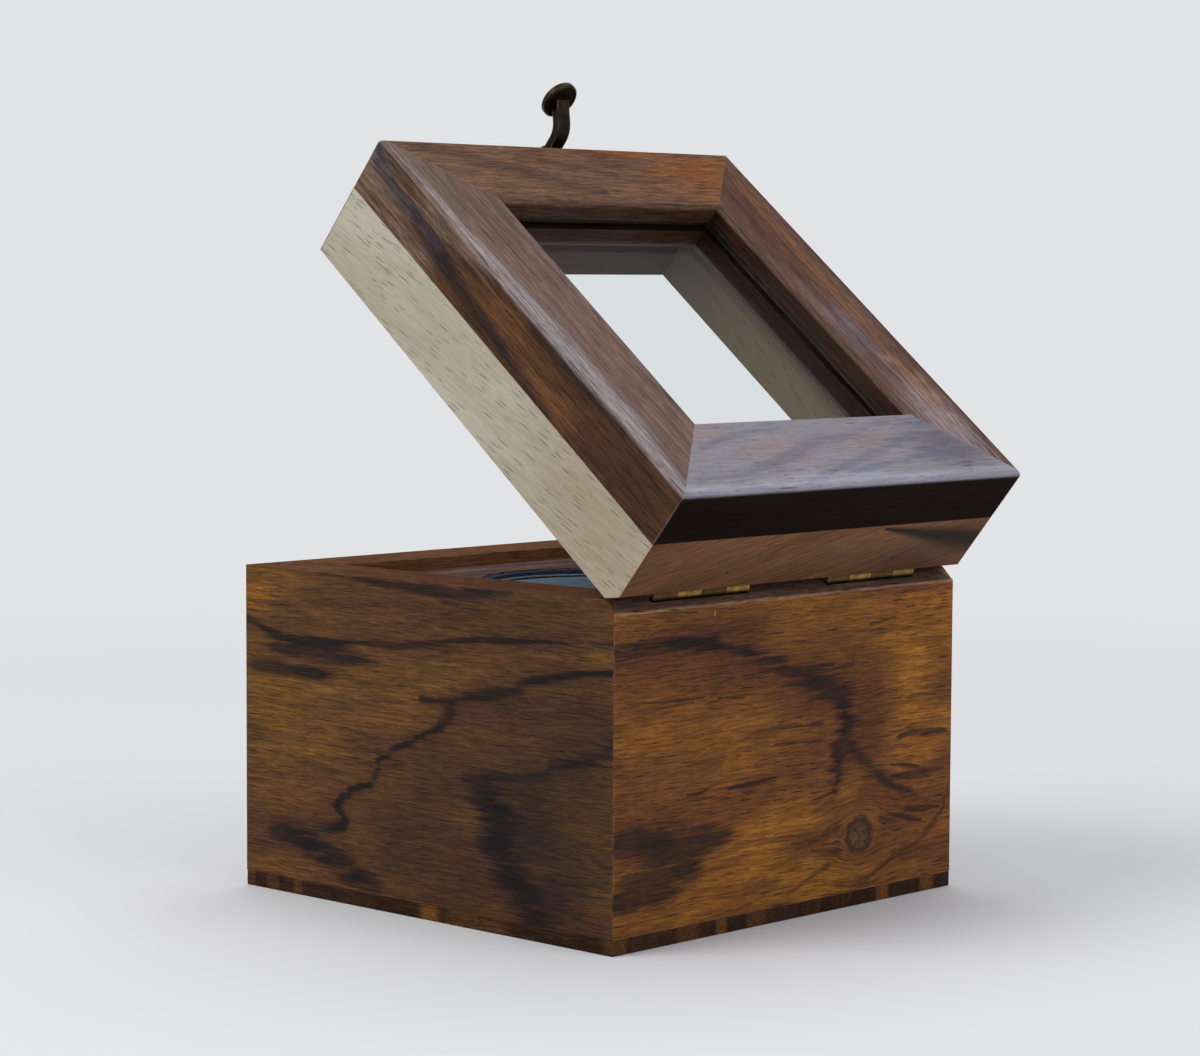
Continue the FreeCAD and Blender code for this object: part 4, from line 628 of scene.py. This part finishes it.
# Lid boards, read with the lid shut
BEECH = ((192, 186, 169), (182, 174, 154), (158, 145, 121), (104, 86, 64))
ROSY = ((130, 90, 60), (112, 76, 51), (88, 60, 43), (72, 50, 37))
FRONT_ROSY = ((146, 104, 72), (128, 90, 62), (100, 70, 50), (78, 54, 40))
BEECH_RINGS = Rings(8.0, 30.0, 0.05)
BEECH_FLECKS = Pores(4.6, 0.8, 3.6, 0.95, 0.95)
BEECH_LINES = Lines(0.1, 0.12, 0.14)
ROSY_FLECKS = Pores(3.0, 0.7, 2.0, 0.4, 0.4)
ROSY_LINES = Lines(0.2, 0.3, 0.2)
BEECH_TILT = 0.17
BACK_TILT = 0.3

RIGHT_TRAY = (
    patch((150, 132, 104), 0.5, 0.0, (36, 72, 34, 18), plane="true"),
    # Darker inner face: painted shade
    patch((140, 122, 84), 0.6, 0.8, (0, TRAY_SIDE, WHOLE, SKIN), plane="true top"),
)
LEFT_TRAY = (
    # Darker inner face, and darker still towards its front end: painted shade
    patch((138, 112, 66), 0.65, 0.8, (0, -TRAY_SIDE, WHOLE, SKIN), plane="true top"),
    patch((78, 66, 50), 0.7, 0.0, (-43, -TRAY_SIDE, 24, SKIN), plane="true top"),
)
# A dark wedge at the left end, and two dents above the hinges
BACK_TRAY = (
    patch((80, 56, 41), 0.65, 0.0, (-32, 72, 26, 7), plane="true"),
    vein((34, 24, 19), 0.95, 0.1, ((-17, 80, 0.5), (-32, 77.6, 2.6), (-44, 75.6, 4.6), (-52, 74.8, 5.4)),
         plane="true"),
    patch((52, 40, 34), 0.9, 0.3, (23.5, 71.8, 0.7, 0.5), (-25.8, 71.6, 0.8, 0.5), plane="true"),
)
# Dark inner face of the front board: painted shade
FRONT_TRAY = (patch((44, 30, 24), 0.7, 0.8, (0, -TRAY_FRONT, WHOLE, SKIN), plane="true top"),)


def beech(name, axes, tones, shift, rings, pores=BEECH_FLECKS, lines=BEECH_LINES, marks=(), tilt=0.0):
    """A board of the lid's tray."""
    return wood(name, axes, tones, shift, of_lid=True, sway=Sway(1.2, 2.0), rings=rings, pores=pores,
                needles=0.0, lines=lines, marks=marks, gloss=(0.42, 0.55), oil=Oil(0.2, 0.2), worn=0.2,
                tilt=tilt)


# Painted shade laid on the rails' inner faces
RAIL_PAINTED_SHADE = (46, 32, 26)
RAIL_RINGS = Rings(3.2, 12.0, 0.35)
RAIL_PORES = Pores(8.0, 0.8, 2.8, 0.4, 0.65)
RAIL_LINES = Lines(0.3, 0.4, 0.4)
BACK_RAIL_LINES = Lines(0.18, 0.16, 0.14)
RIGHT_RAIL_TONES = ((112, 74, 44), (88, 59, 40), (56, 39, 29), (36, 28, 30))
LEFT_RAIL_TONES = ((122, 76, 46), (98, 61, 40), (62, 41, 30), (40, 28, 27))
FRONT_RAIL_TONES = ((138, 88, 44), (112, 72, 42), (76, 50, 33), (48, 34, 28))
BACK_RAIL_TONES = ((80, 60, 50), (60, 44, 36), (40, 29, 25), (24, 18, 18))

# A spot that covers a rail's outer side up to its top edge
RAIL_SIDE = (0, 85.6, WHOLE, 6.6)

RIGHT_RAIL_SIDE = (
    # Pale upper end, with a bluish haze at its corner that is painted sheen
    patch((150, 124, 106), 0.8, 0.2, (-46, 86, 15, 7), (-28, 90.6, 18, 3.2), (-33, 82.4, 12, 2.6)),
    patch((120, 118, 126), 0.55, 0.0, (-51, 91, 7, 5)),
    # Split vein and the shades beside it
    vein((44, 36, 38), 0.95, 0.1, (
        (-28, 86.6, 2.2), (-19.5, 85.4, 2.5), (-11.3, 83.8, 2.4), (-4.6, 83.2, 2.1), (6, 82.4, 1.7),
        (16.4, 81.6, 1.2)), halo=0.1),
    vein((66, 62, 70), 0.9, 0.05, (
        (-51, 92, 1.6), (-48.2, 88.9, 2), (-41.4, 87.5, 2.3), (-34.2, 87.6, 2.4), (-26.9, 86.3, 2.4))),
    vein((50, 36, 32), 0.85, 0.1, ((4, 91.4, 1), (16, 91.4, 1.5), (33, 92, 1.2)), halo=0.2),
    patch((140, 92, 54), 0.5, 0.0, (14, 84, 14, 3.4), (-6, 87.4, 14, 3)),
    patch((66, 44, 30), 0.6, 0.0, (40, 85, 18, 8)),
)
RIGHT_RAIL_TOP = (
    patch((104, 74, 58), 0.75, 0.1, (-36, 40, 30, 13), plane="top"),
    # Light band along the rounded outer edge: painted highlight
    patch((170, 162, 164), 0.7, 0.3, (24, 48.4, 60, 3.2), plane="top"),
    # Fine dark lines, pale lines and broad soft ones
    vein((70, 48, 40), 0.7, 0.0, ((-46, 44, 0.5), (-20, 43.4, 0.6)), ((-40, 40.6, 0.5), (-8, 40, 0.6)),
         ((-38, 37.4, 0.5), (-6, 36.6, 0.6)), ((-34, 34.4, 0.4), (-4, 33.8, 0.5)), plane="top"),
    vein((152, 114, 86), 0.5, 0.0, ((0, 38, 0.6), (46, 36.6, 0.7)), ((6, 35, 0.5), (40, 34, 0.6)),
         ((10, 41.6, 0.5), (48, 40.4, 0.6)), plane="top"),
    vein((104, 70, 54), 0.5, 0.1, ((-40, 39, 1.2), (-10, 37.4, 1.5), (20, 38, 1.1), (48, 37, 0.8)),
         ((-46, 34.6, 0.9), (-10, 34, 1.1), (30, 34.8, 0.9)),
         ((-34, 42.6, 0.7), (0, 41.4, 0.9), (34, 41.8, 0.7)), plane="top"),
)
LEFT_RAIL_TOP = (
    patch((92, 58, 44), 0.8, 0.2, (-30, -41, 34, 10), plane="top"),
    # Bluish grey spots: painted sheen
    patch((132, 118, 132), 0.6, 0.0, (8, -37.5, 16, 5), (40, -41, 12, 7), plane="top"),
    vein((150, 92, 54), 0.6, 0.0, ((-40, -49, 1), (-10, -49.6, 1.2), (7, -49.8, 1)), plane="top"),
    # Ripple across the grain
    patch((168, 136, 108), 0.6, 0.0, (28, -43, 3, 4), (22, -45, 2.4, 4), (34, -42, 3, 4), (16, -41, 2.4, 4),
          plane="top"),
    vein((146, 98, 66), 0.5, 0.0, ((-40, -45, 1.6), (-19, -44.2, 2), (1.5, -43, 2), (20, -42.6, 1.8),
                                   (40, -41, 1.6)), plane="top"),
    vein((88, 58, 48), 0.65, 0.1, ((-40, -49, 1.6), (40, -48, 2)),
         ((-40, -38.6, 1), (10, -37, 1.2), (40, -36.4, 1)), plane="top"),
    # Pale grey back end: painted sheen
    patch((170, 154, 156), 0.6, 0.0, (38, -40, 18, 9), plane="top"),
)
FRONT_RAIL_SIDE = (patch((66, 43, 28), 0.7, 0.85, RAIL_SIDE, plane="true"),)
FRONT_RAIL_TOP = (
    # Smoky diagonal, orange left end and the shaded edge of the window
    vein((64, 48, 42), 0.5, 0.0, ((44, -49, 1.4), (35.2, -47.3, 2), (23.5, -43.7, 2.6), (9.7, -38.6, 2.6),
                                  (0, -36, 1.6)),
         ((20, -48, 0.8), (6, -45, 1.2), (-8, -42, 1)), plane="top"),
    patch((144, 84, 36), 0.75, 0.1, (-36, -43, 20, 11), (-14, -50, 18, 3), plane="top"),
    patch((88, 62, 46), 0.75, 0.9, (0, -WINDOW_END, WHOLE, 1.2), plane="true top"),
)
# Near-black outer face: partly dark wood, partly painted shade of a face turned downwards
BACK_RAIL_SIDE = (patch((24, 15, 12), 0.92, 0.85, RAIL_SIDE, plane="true"),)
BACK_RAIL_TOP = (
    patch((150, 116, 98), 0.4, 0.0, (16, 41, 16, 5), (-12, 39, 16, 5), (32, 36, 12, 4), plane="top"),
    # Bluish grey patch and lines over the top: painted sheen
    patch((84, 80, 92), 0.8, 0.1, (-34, 42, 18, 10), plane="top"),
    vein((98, 100, 120), 0.6, 0.0,
         ((44, 47.4, 1.2), (28.9, 46.6, 1.5), (18.4, 44, 1.8), (1.9, 38.8, 1.9), (-22.6, 35, 1.4)),
         ((36.4, 39.1, 1), (23, 36.6, 1.3), (10.2, 35.1, 0.9)),
         ((10, 48.6, 0.9), (-3, 45.2, 1.2), (-15.7, 42, 1.5), (-34, 36, 1.4)),
         ((0.9, 48.2, 0.9), (-26.2, 44.4, 1.3), (-43.3, 40.8, 1)), plane="top"),
    # Pale bluish band along the back edge: painted highlight
    patch((166, 166, 180), 0.55, 0.2, (0, 50.8, 90, 3.4), plane="top"),
)


def rail(name, axes, tones, shift, top, inner, sides=(), tops=(), lines=RAIL_LINES, oil=Oil(0.3, 0.45)):
    """A rail of the lid: painted shade darkens its inner face, and painted sheen makes its top lighter than
    its sides.
    """
    # Painted shade on the inner face, and painted sheen over the top in the given top tone
    dark = patch(RAIL_PAINTED_SHADE, 0.8, 0.9, (0, inner, WHOLE, 3.4), plane="true top")
    painted_sheen = patch(top, 0.75, 0.6, (0, RAIL_TOP + 0.5, WHOLE, 1.6), plane="true")
    return wood(name, axes, tones, shift, of_lid=True, sway=Sway(1.6, 6.0), rings=RAIL_RINGS,
                pores=RAIL_PORES, needles=0.3, lines=lines, marks=sides + (dark, painted_sheen) + tops,
                gloss=(0.34, 0.46), oil=oil)


LID_WOOD = {
    "lid_tray_right": beech("beech right", "yzx", BEECH, (17.0, 4.0, 9.0), BEECH_RINGS, marks=RIGHT_TRAY,
                            tilt=-BEECH_TILT),
    "lid_tray_left": beech("beech left", "yzx", BEECH, (117.0, 54.0, 9.0), BEECH_RINGS, marks=LEFT_TRAY,
                           tilt=BEECH_TILT),
    "lid_tray_back": beech("beech back", "xzy", ROSY, (7.0, 30.0, 90.0), Rings(1.5, 22.0, 0.35), ROSY_FLECKS,
                           ROSY_LINES, BACK_TRAY, BACK_TILT),
    "lid_tray_front": beech("beech front", "xzy", FRONT_ROSY, (70.0, 3.0, 190.0), Rings(1.9, 22.0, 0.4),
                            ROSY_FLECKS, ROSY_LINES, FRONT_TRAY),
    # The tone after each rail's shift is the painted sheen of its top
    "lid_rail_right": rail("rail wood right", "yzx", RIGHT_RAIL_TONES, (13.0, 8.0, 2.0), (130, 104, 94),
                           WINDOW_SIDE, RIGHT_RAIL_SIDE, RIGHT_RAIL_TOP),
    "lid_rail_left": rail("rail wood left", "yzx", LEFT_RAIL_TONES, (313.0, 28.0, 52.0), (118, 92, 80),
                          -WINDOW_SIDE, (), LEFT_RAIL_TOP, oil=Oil(0.3, 0.2)),
    "lid_rail_front": rail("rail wood front", "xzy", FRONT_RAIL_TONES, (77.0, 128.0, 12.0), (124, 94, 76),
                           -WINDOW_END, FRONT_RAIL_SIDE, FRONT_RAIL_TOP, oil=Oil(0.3, 0.15)),
    "lid_rail_back": rail("rail wood back", "xzy", BACK_RAIL_TONES, (177.0, 228.0, 2.0), (150, 146, 156),
                          WINDOW_END, BACK_RAIL_SIDE, BACK_RAIL_TOP, BACK_RAIL_LINES, Oil(0.05, 0.5)),
}

METAL_WEAR_REACH = 0.5 * MM
BRUSH_RELIEF = 0.2
BRUSH_DEPTH = 0.03 * MM


def metal(name, bright, dull, shift, rough, dullness=0.6, edge=None):
    """Metal with patches of tarnish, faint brushing and, where edge gives a tone, brighter worn edges."""
    material, bench, shader = blank(name)
    place = board_place(bench)
    film = bench.use(tarnish, Place=place, Shift=shift)
    colour = bench.blend(bench.times(film["Patch"], dullness), paint(*bright), paint(*dull))
    colour = bench.blend(bench.times(film["Fleck"], 0.35), colour, paint(*dull))
    if edge:
        wear = bench.use(edge_wear, Place=place, Reach=METAL_WEAR_REACH)["Wear"]
        colour = bench.blend(bench.times(wear, 0.8), colour, paint(*edge))
    bench.feed(shader["Base Color"], colour)
    shader["Metallic"].default_value = 1.0
    bench.feed(shader["Roughness"], bench.span(film["Brush"], 0.2, 0.8, *rough))
    bench.feed(shader["Normal"], bench.bump(film["Brush"], BRUSH_RELIEF, BRUSH_DEPTH))
    return material


# Each metal by its slot, and the duller brass of the lid's hinge leaves: bright and dull tones, shift of the
# pattern, roughness from and to, and where it differs the share of tarnish and the tone of worn edges
METAL_FINISH = {
    "hinge_brass": ((160, 125, 62), (70, 54, 29), (3.0, 1.0, 0.0), (0.28, 0.45)),
    "hinge_brass_dull": ((98, 76, 40), (44, 35, 22), (9.0, 4.0, 0.0), (0.35, 0.55)),
    "antique_bronze": ((46, 38, 28), (22, 19, 18), (5.0, 5.0, 5.0), (0.32, 0.5), 0.6, (174, 156, 114)),
    "key_brass": ((196, 156, 84), (140, 106, 58), (1.0, 0.0, 7.0), (0.18, 0.34), 0.4, (222, 190, 122)),
    "cast_frame": ((164, 164, 162), (120, 120, 118), (0.0, 3.0, 2.0), (0.38, 0.6)),
    "movement_steel": ((188, 188, 190), (136, 138, 142), (2.0, 0.0, 1.0), (0.2, 0.4), 0.4),
    "movement_brass": ((206, 170, 96), (158, 124, 66), (4.0, 1.0, 1.0), (0.2, 0.38), 0.4),
    "fan_metal": ((206, 206, 208), (160, 160, 164), (0.0, 1.0, 6.0), (0.22, 0.4), 0.4),
    "trim_metal": ((104, 116, 128), (72, 82, 94), (0.0, 1.0, 1.0), (0.45, 0.6), 0.4),
}
METALS = {slot: metal(slot.replace("_", " "), *finish) for slot, finish in METAL_FINISH.items()}
DULL_BRASS = ("hinge_leaves_lid", "hinge_screws_lid")


def navy_paint():
    material, bench, shader = blank("navy paint")
    film = bench.use(tarnish, Place=board_place(bench), Shift=(0, 0, 0))
    bench.feed(shader["Base Color"], bench.blend(film["Patch"], paint(54, 65, 79), paint(44, 53, 66)))
    bench.feed(shader["Roughness"], bench.span(film["Brush"], 0.2, 0.8, 0.6, 0.8))
    shader["Specular IOR Level"].default_value = 0.0
    bench.feed(shader["Normal"], bench.bump(film["Fleck"], 0.3, 0.05 * MM))
    return material


def blue_felt():
    material, bench, shader = blank("blue grey felt")
    felt = bench.use(felt_nap, Place=board_place(bench))
    colour = bench.blend(felt["Cloud"], paint(76, 90, 104), paint(90, 104, 116))
    shade = bench.span(felt["Nap"], 0.3, 0.7, 0.5, 0.0)
    bench.feed(shader["Base Color"], bench.blend(shade, colour, paint(54, 66, 80)))
    bench.feed(shader["Roughness"], bench.span(felt["Nap"], 0.2, 0.8, 0.85, 0.97))
    shader["Specular IOR Level"].default_value = 0.0
    shader["Sheen Weight"].default_value = 0.05
    shader["Sheen Roughness"].default_value = 0.6
    bench.feed(shader["Normal"], bench.bump(felt["Nap"], 0.7, 0.12 * MM))
    return material


def clear_glass():
    """Clear glass with a few dull specks of dust."""
    material, bench, shader = blank("window glass")
    shader["Base Color"].default_value = paint(246, 250, 250)
    shader["Transmission Weight"].default_value = 1.0
    shader["IOR"].default_value = 1.1
    specks = bench.use(pore_dashes, Place=board_place(bench, of_lid=True), Shift=(3, 1, 2), Length=3.4,
                       Width=3.2, Slim=1.0, Share=0.02)["Dash"]
    bench.feed(shader["Roughness"], bench.span(specks, 0.9, 1.0, 0.0, 0.6))
    return material


def ground_edge():
    """The pane's ground edge, painted brown as the groove's wood would show through the glass."""
    material, bench, shader = blank("ground glass edge")
    film = bench.use(tarnish, Place=board_place(bench, of_lid=True), Shift=(0, 0, 0))
    bench.feed(shader["Base Color"], bench.blend(film["Fleck"], paint(62, 49, 41), paint(76, 60, 50)))
    bench.feed(shader["Roughness"], bench.span(film["Patch"], 0.0, 1.0, 0.7, 0.9))
    return material


def ease_edges(node):
    """Makes a board one skin and rounds its edges a little."""
    weld = node.modifiers.new("one skin", "WELD")
    weld.merge_threshold = WELD_REACH
    ease = node.modifiers.new("eased edges", "BEVEL")
    ease.width = BOARD_EASE
    ease.segments = EASE_STEPS
    ease.limit_method = "ANGLE"
    ease.angle_limit = EASE_ANGLE


def dress_cad():
    """Gives every node its finish, and eases the edges of the boards."""
    boards = {**BODY_WOOD, **LID_WOOD}
    navy = navy_paint()
    for name, node in frame["nodes"].items():
        slot = node.data.materials[0].name.split(".")[0]
        if name in boards:
            finish = boards[name]
            ease_edges(node)
        elif name in DULL_BRASS:
            finish = METALS["hinge_brass_dull"]
        else:
            finish = METALS.get(slot, navy)
        for material_slot in node.material_slots:
            material_slot.link = "OBJECT"
            material_slot.material = finish


def join_loops(mesh, loops, inside_out=False):
    """Joins each loop of points to the next with four-sided faces, and gives those faces."""
    faces = []
    for lower, upper in zip(loops, loops[1:]):
        for here in range(len(lower)):
            after = (here + 1) % len(lower)
            corners = (lower[here], lower[after], upper[after], upper[here])
            if inside_out:
                corners = (lower[here], upper[here], upper[after], lower[after])
            faces.append(mesh.faces.new(corners))
    return faces


def shown(name, mesh, *finishes):
    """Makes an object of a finished mesh."""
    data = bpy.data.meshes.new(name)
    mesh.to_mesh(data)
    mesh.free()
    for finish in finishes:
        data.materials.append(finish)
    piece = bpy.data.objects.new(name, data)
    bpy.context.scene.collection.objects.link(piece)
    return piece


PANE_ARRIS = 0.25 * MM


def window_pane():
    """The pane in the lid's groove, clear on its faces and ground along its edges and arrises."""
    flat = shut_points("lid_glass")
    low = Vector([min(point[axis] for point in flat) for axis in range(3)])
    high = Vector([max(point[axis] for point in flat) for axis in range(3)])
    levels = ((PANE_ARRIS, low.z), (0.0, low.z + PANE_ARRIS), (0.0, high.z - PANE_ARRIS),
              (PANE_ARRIS, high.z))
    mesh = bmesh.new()
    loops = []
    for inset, height in levels:
        x0, y0, x1, y1 = low.x + inset, low.y + inset, high.x - inset, high.y - inset
        loops.append([mesh.verts.new((x, y, height)) for x, y in ((x0, y0), (x1, y0), (x1, y1), (x0, y1))])
    for face in join_loops(mesh, loops):
        face.material_index = 1
    mesh.faces.new(list(reversed(loops[0])))
    mesh.faces.new(loops[-1])
    mesh.transform(SHUT.inverted())
    pane = shown("window_pane", mesh, clear_glass(), ground_edge())
    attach(pane, "lid")
    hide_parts("lid_glass")


PAD_CROWN = 0.7 * MM
PAD_EDGE = 0.4 * MM
PAD_RINGS = 14
PAD_SPOKES = 96
PAD_UNEVEN = 0.06 * MM
PAD_UNEVEN_RATE = 0.16 / MM


def pad_profile(radius, low, rim_top):
    """The felt disc's outline from its foot to near its middle, as (reach, height)."""
    inner = radius - PAD_EDGE
    profile = [(inner, low), (radius - 0.25 * PAD_EDGE, low + 0.25 * PAD_EDGE), (radius, low + PAD_EDGE),
               (radius, rim_top - PAD_EDGE), (radius - 0.29 * PAD_EDGE, rim_top - 0.29 * PAD_EDGE),
               (inner, rim_top)]
    for step in range(1, PAD_RINGS):
        share = 1 - step / PAD_RINGS
        profile.append((inner * share, rim_top + PAD_CROWN * (1 - share * share)))
    return profile


def felt_pad():
    """The felt disc in the well: crowned, soft at its edge, with a faint unevenness."""
    low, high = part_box("well_pad")
    centre = (low + high) / 2
    rim_top = high.z - PAD_CROWN
    mesh = bmesh.new()
    loops = []
    for reach, height in pad_profile((high.x - low.x) / 2, low.z, rim_top):
        loop = []
        for spoke in range(PAD_SPOKES):
            turn = 2 * math.pi * spoke / PAD_SPOKES
            point = Vector((centre.x + reach * math.cos(turn), centre.y + reach * math.sin(turn), height))
            if height > rim_top - PAD_EDGE:
                point.z += PAD_UNEVEN * noise.noise(point * PAD_UNEVEN_RATE)
            loop.append(mesh.verts.new(point))
        loops.append(loop)
    join_loops(mesh, loops)
    top = mesh.verts.new((centre.x, centre.y, high.z))
    for spoke in range(PAD_SPOKES):
        mesh.faces.new((loops[-1][spoke], loops[-1][(spoke + 1) % PAD_SPOKES], top))
    mesh.faces.new(list(reversed(loops[0])))
    for face in mesh.faces:
        face.smooth = len(face.verts) < 5
    pad = shown("felt_pad", mesh, blue_felt())
    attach(pad, "case")
    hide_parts("well_pad")


TIP_X = 22.7 * MM
TIP_Z = 60.9 * MM
TIP_RADIUS = 0.42 * MM
TIP_PROUD = 0.12 * MM
TIP_SUNK = 0.3 * MM
TIP_SPOKES = 20
TIP_SQUASH = (0.7, 1.5)


def nail_tip():
    """The worn tip of a brass pin that shows on the back wall."""
    at = Vector((TIP_X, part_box("back_wall")[1].y, TIP_Z))
    profile = [(TIP_RADIUS, -TIP_SUNK), (TIP_RADIUS, 0.4 * TIP_PROUD), (0.75 * TIP_RADIUS, 0.85 * TIP_PROUD),
               (0.35 * TIP_RADIUS, TIP_PROUD)]
    wide, tall = TIP_SQUASH
    mesh = bmesh.new()
    loops = []
    for reach, height in profile:
        loop = []
        for spoke in range(TIP_SPOKES):
            turn = 2 * math.pi * spoke / TIP_SPOKES
            offset = Vector((wide * reach * math.cos(turn), height, tall * reach * math.sin(turn)))
            loop.append(mesh.verts.new(at + offset))
        loops.append(loop)
    join_loops(mesh, loops, inside_out=True)
    mesh.faces.new(loops[0])
    mesh.faces.new(list(reversed(loops[-1])))
    tip = shown("nail_tip", mesh, METALS["hinge_brass"])
    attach(tip, "case")


# The pale surround, the floor under the object, and the light that the world gives
SURROUND = paint(226, 227, 229)
FLOOR_TONE = paint(214, 214, 215)
SKYLIGHT = paint(182, 184, 190)
FLOOR_RADIUS = 6.0
FLOOR_SIDES = 96
MELT_FROM = 0.12
MELT_TO = 0.62


def pale_floor():
    """A floor that melts into the surround, so that no horizon shows from any side."""
    material, bench, shader = blank("pale floor")
    shader["Base Color"].default_value = FLOOR_TONE
    shader["Roughness"].default_value = 0.9
    shader["Specular IOR Level"].default_value = 0.1
    far = bench.span(bench.vec("LENGTH", bench.place("TexCoord").outputs["Object"]), MELT_FROM, MELT_TO)
    glow = bench.place("Emission", (SURROUND, 1.0)).outputs[0]
    body = material.node_tree.nodes["Principled BSDF"].outputs[0]
    mixed = bench.place("MixShader", (far, body, glow)).outputs[0]
    bench.feed(material.node_tree.nodes["Material Output"].inputs["Surface"], mixed)
    mesh = bmesh.new()
    bmesh.ops.create_circle(mesh, cap_ends=True, segments=FLOOR_SIDES, radius=FLOOR_RADIUS)
    shown("floor", mesh, material)


def surround():
    """The world: soft light on the object, and the pale surround wherever it is seen or mirrored."""
    world = bpy.data.worlds.new("studio")
    bpy.context.scene.world = world
    world.use_nodes = True
    bench = Bench(world.node_tree)
    sky = world.node_tree.nodes["Background"].inputs
    path = bench.place("LightPath").outputs
    seen = bench.calc("MAXIMUM", path["Is Glossy Ray"], path["Is Transmission Ray"])
    seen = bench.calc("MAXIMUM", path["Is Camera Ray"], seen)
    bench.feed(sky["Color"], bench.blend(seen, SKYLIGHT, SURROUND))
    sky["Strength"].default_value = 1.0


# Each lamp: its place, width, watts and colour. All point at the middle of the object.
LAMPS = {
    "key": ((0.75, -0.25, 0.95), 0.7, 7.0, (1.0, 0.985, 0.96)),
    "fill": ((-0.1, 1.0, 0.6), 0.8, 4.0, (0.97, 0.98, 1.0)),
    "top": ((-0.3, -0.2, 1.1), 0.9, 4.0, (0.96, 0.98, 1.0)),
}
LAMP_AIM = Vector((0.0, 0.0, 0.08))


def soft_lamps():
    for name, (position, size, watts, colour) in LAMPS.items():
        data = bpy.data.lights.new(name, "AREA")
        data.shape = "DISK"
        data.size = size
        data.energy = watts
        data.color = colour
        lamp = bpy.data.objects.new(name, data)
        lamp.location = position
        lamp.rotation_euler = (LAMP_AIM - Vector(position)).to_track_quat("-Z", "Y").to_euler()
        bpy.context.scene.collection.objects.link(lamp)


# The photograph's view: azimuth 0 looks along +Y
AZIMUTH = math.radians(133.4982)
ELEVATION = math.radians(4.401)
ROLL = math.radians(0.278)
CAMERA_PLACE = (0.479888, 0.455272, 0.123725)
LENS = 98.629
SENSOR = 36.0
NEAR_CLIP = 0.01


def camera():
    data = bpy.data.cameras.new("photo camera")
    data.sensor_fit = "HORIZONTAL"
    data.sensor_width = SENSOR
    data.lens = LENS
    data.clip_start = NEAR_CLIP
    view = bpy.data.objects.new("photo camera", data)
    tilt = Matrix.Rotation(math.pi / 2 - ELEVATION, 4, "X")
    turn = Matrix.Rotation(AZIMUTH, 4, "Z") @ tilt @ Matrix.Rotation(ROLL, 4, "Z")
    view.matrix_world = Matrix.Translation(CAMERA_PLACE) @ turn
    bpy.context.scene.collection.objects.link(view)
    bpy.context.scene.camera = view


dress_cad()
window_pane()
felt_pad()
nail_tip()
pale_floor()
surround()
soft_lamps()
camera()
bpy.context.scene.view_settings.view_transform = "Standard"
bpy.context.view_layer.update()
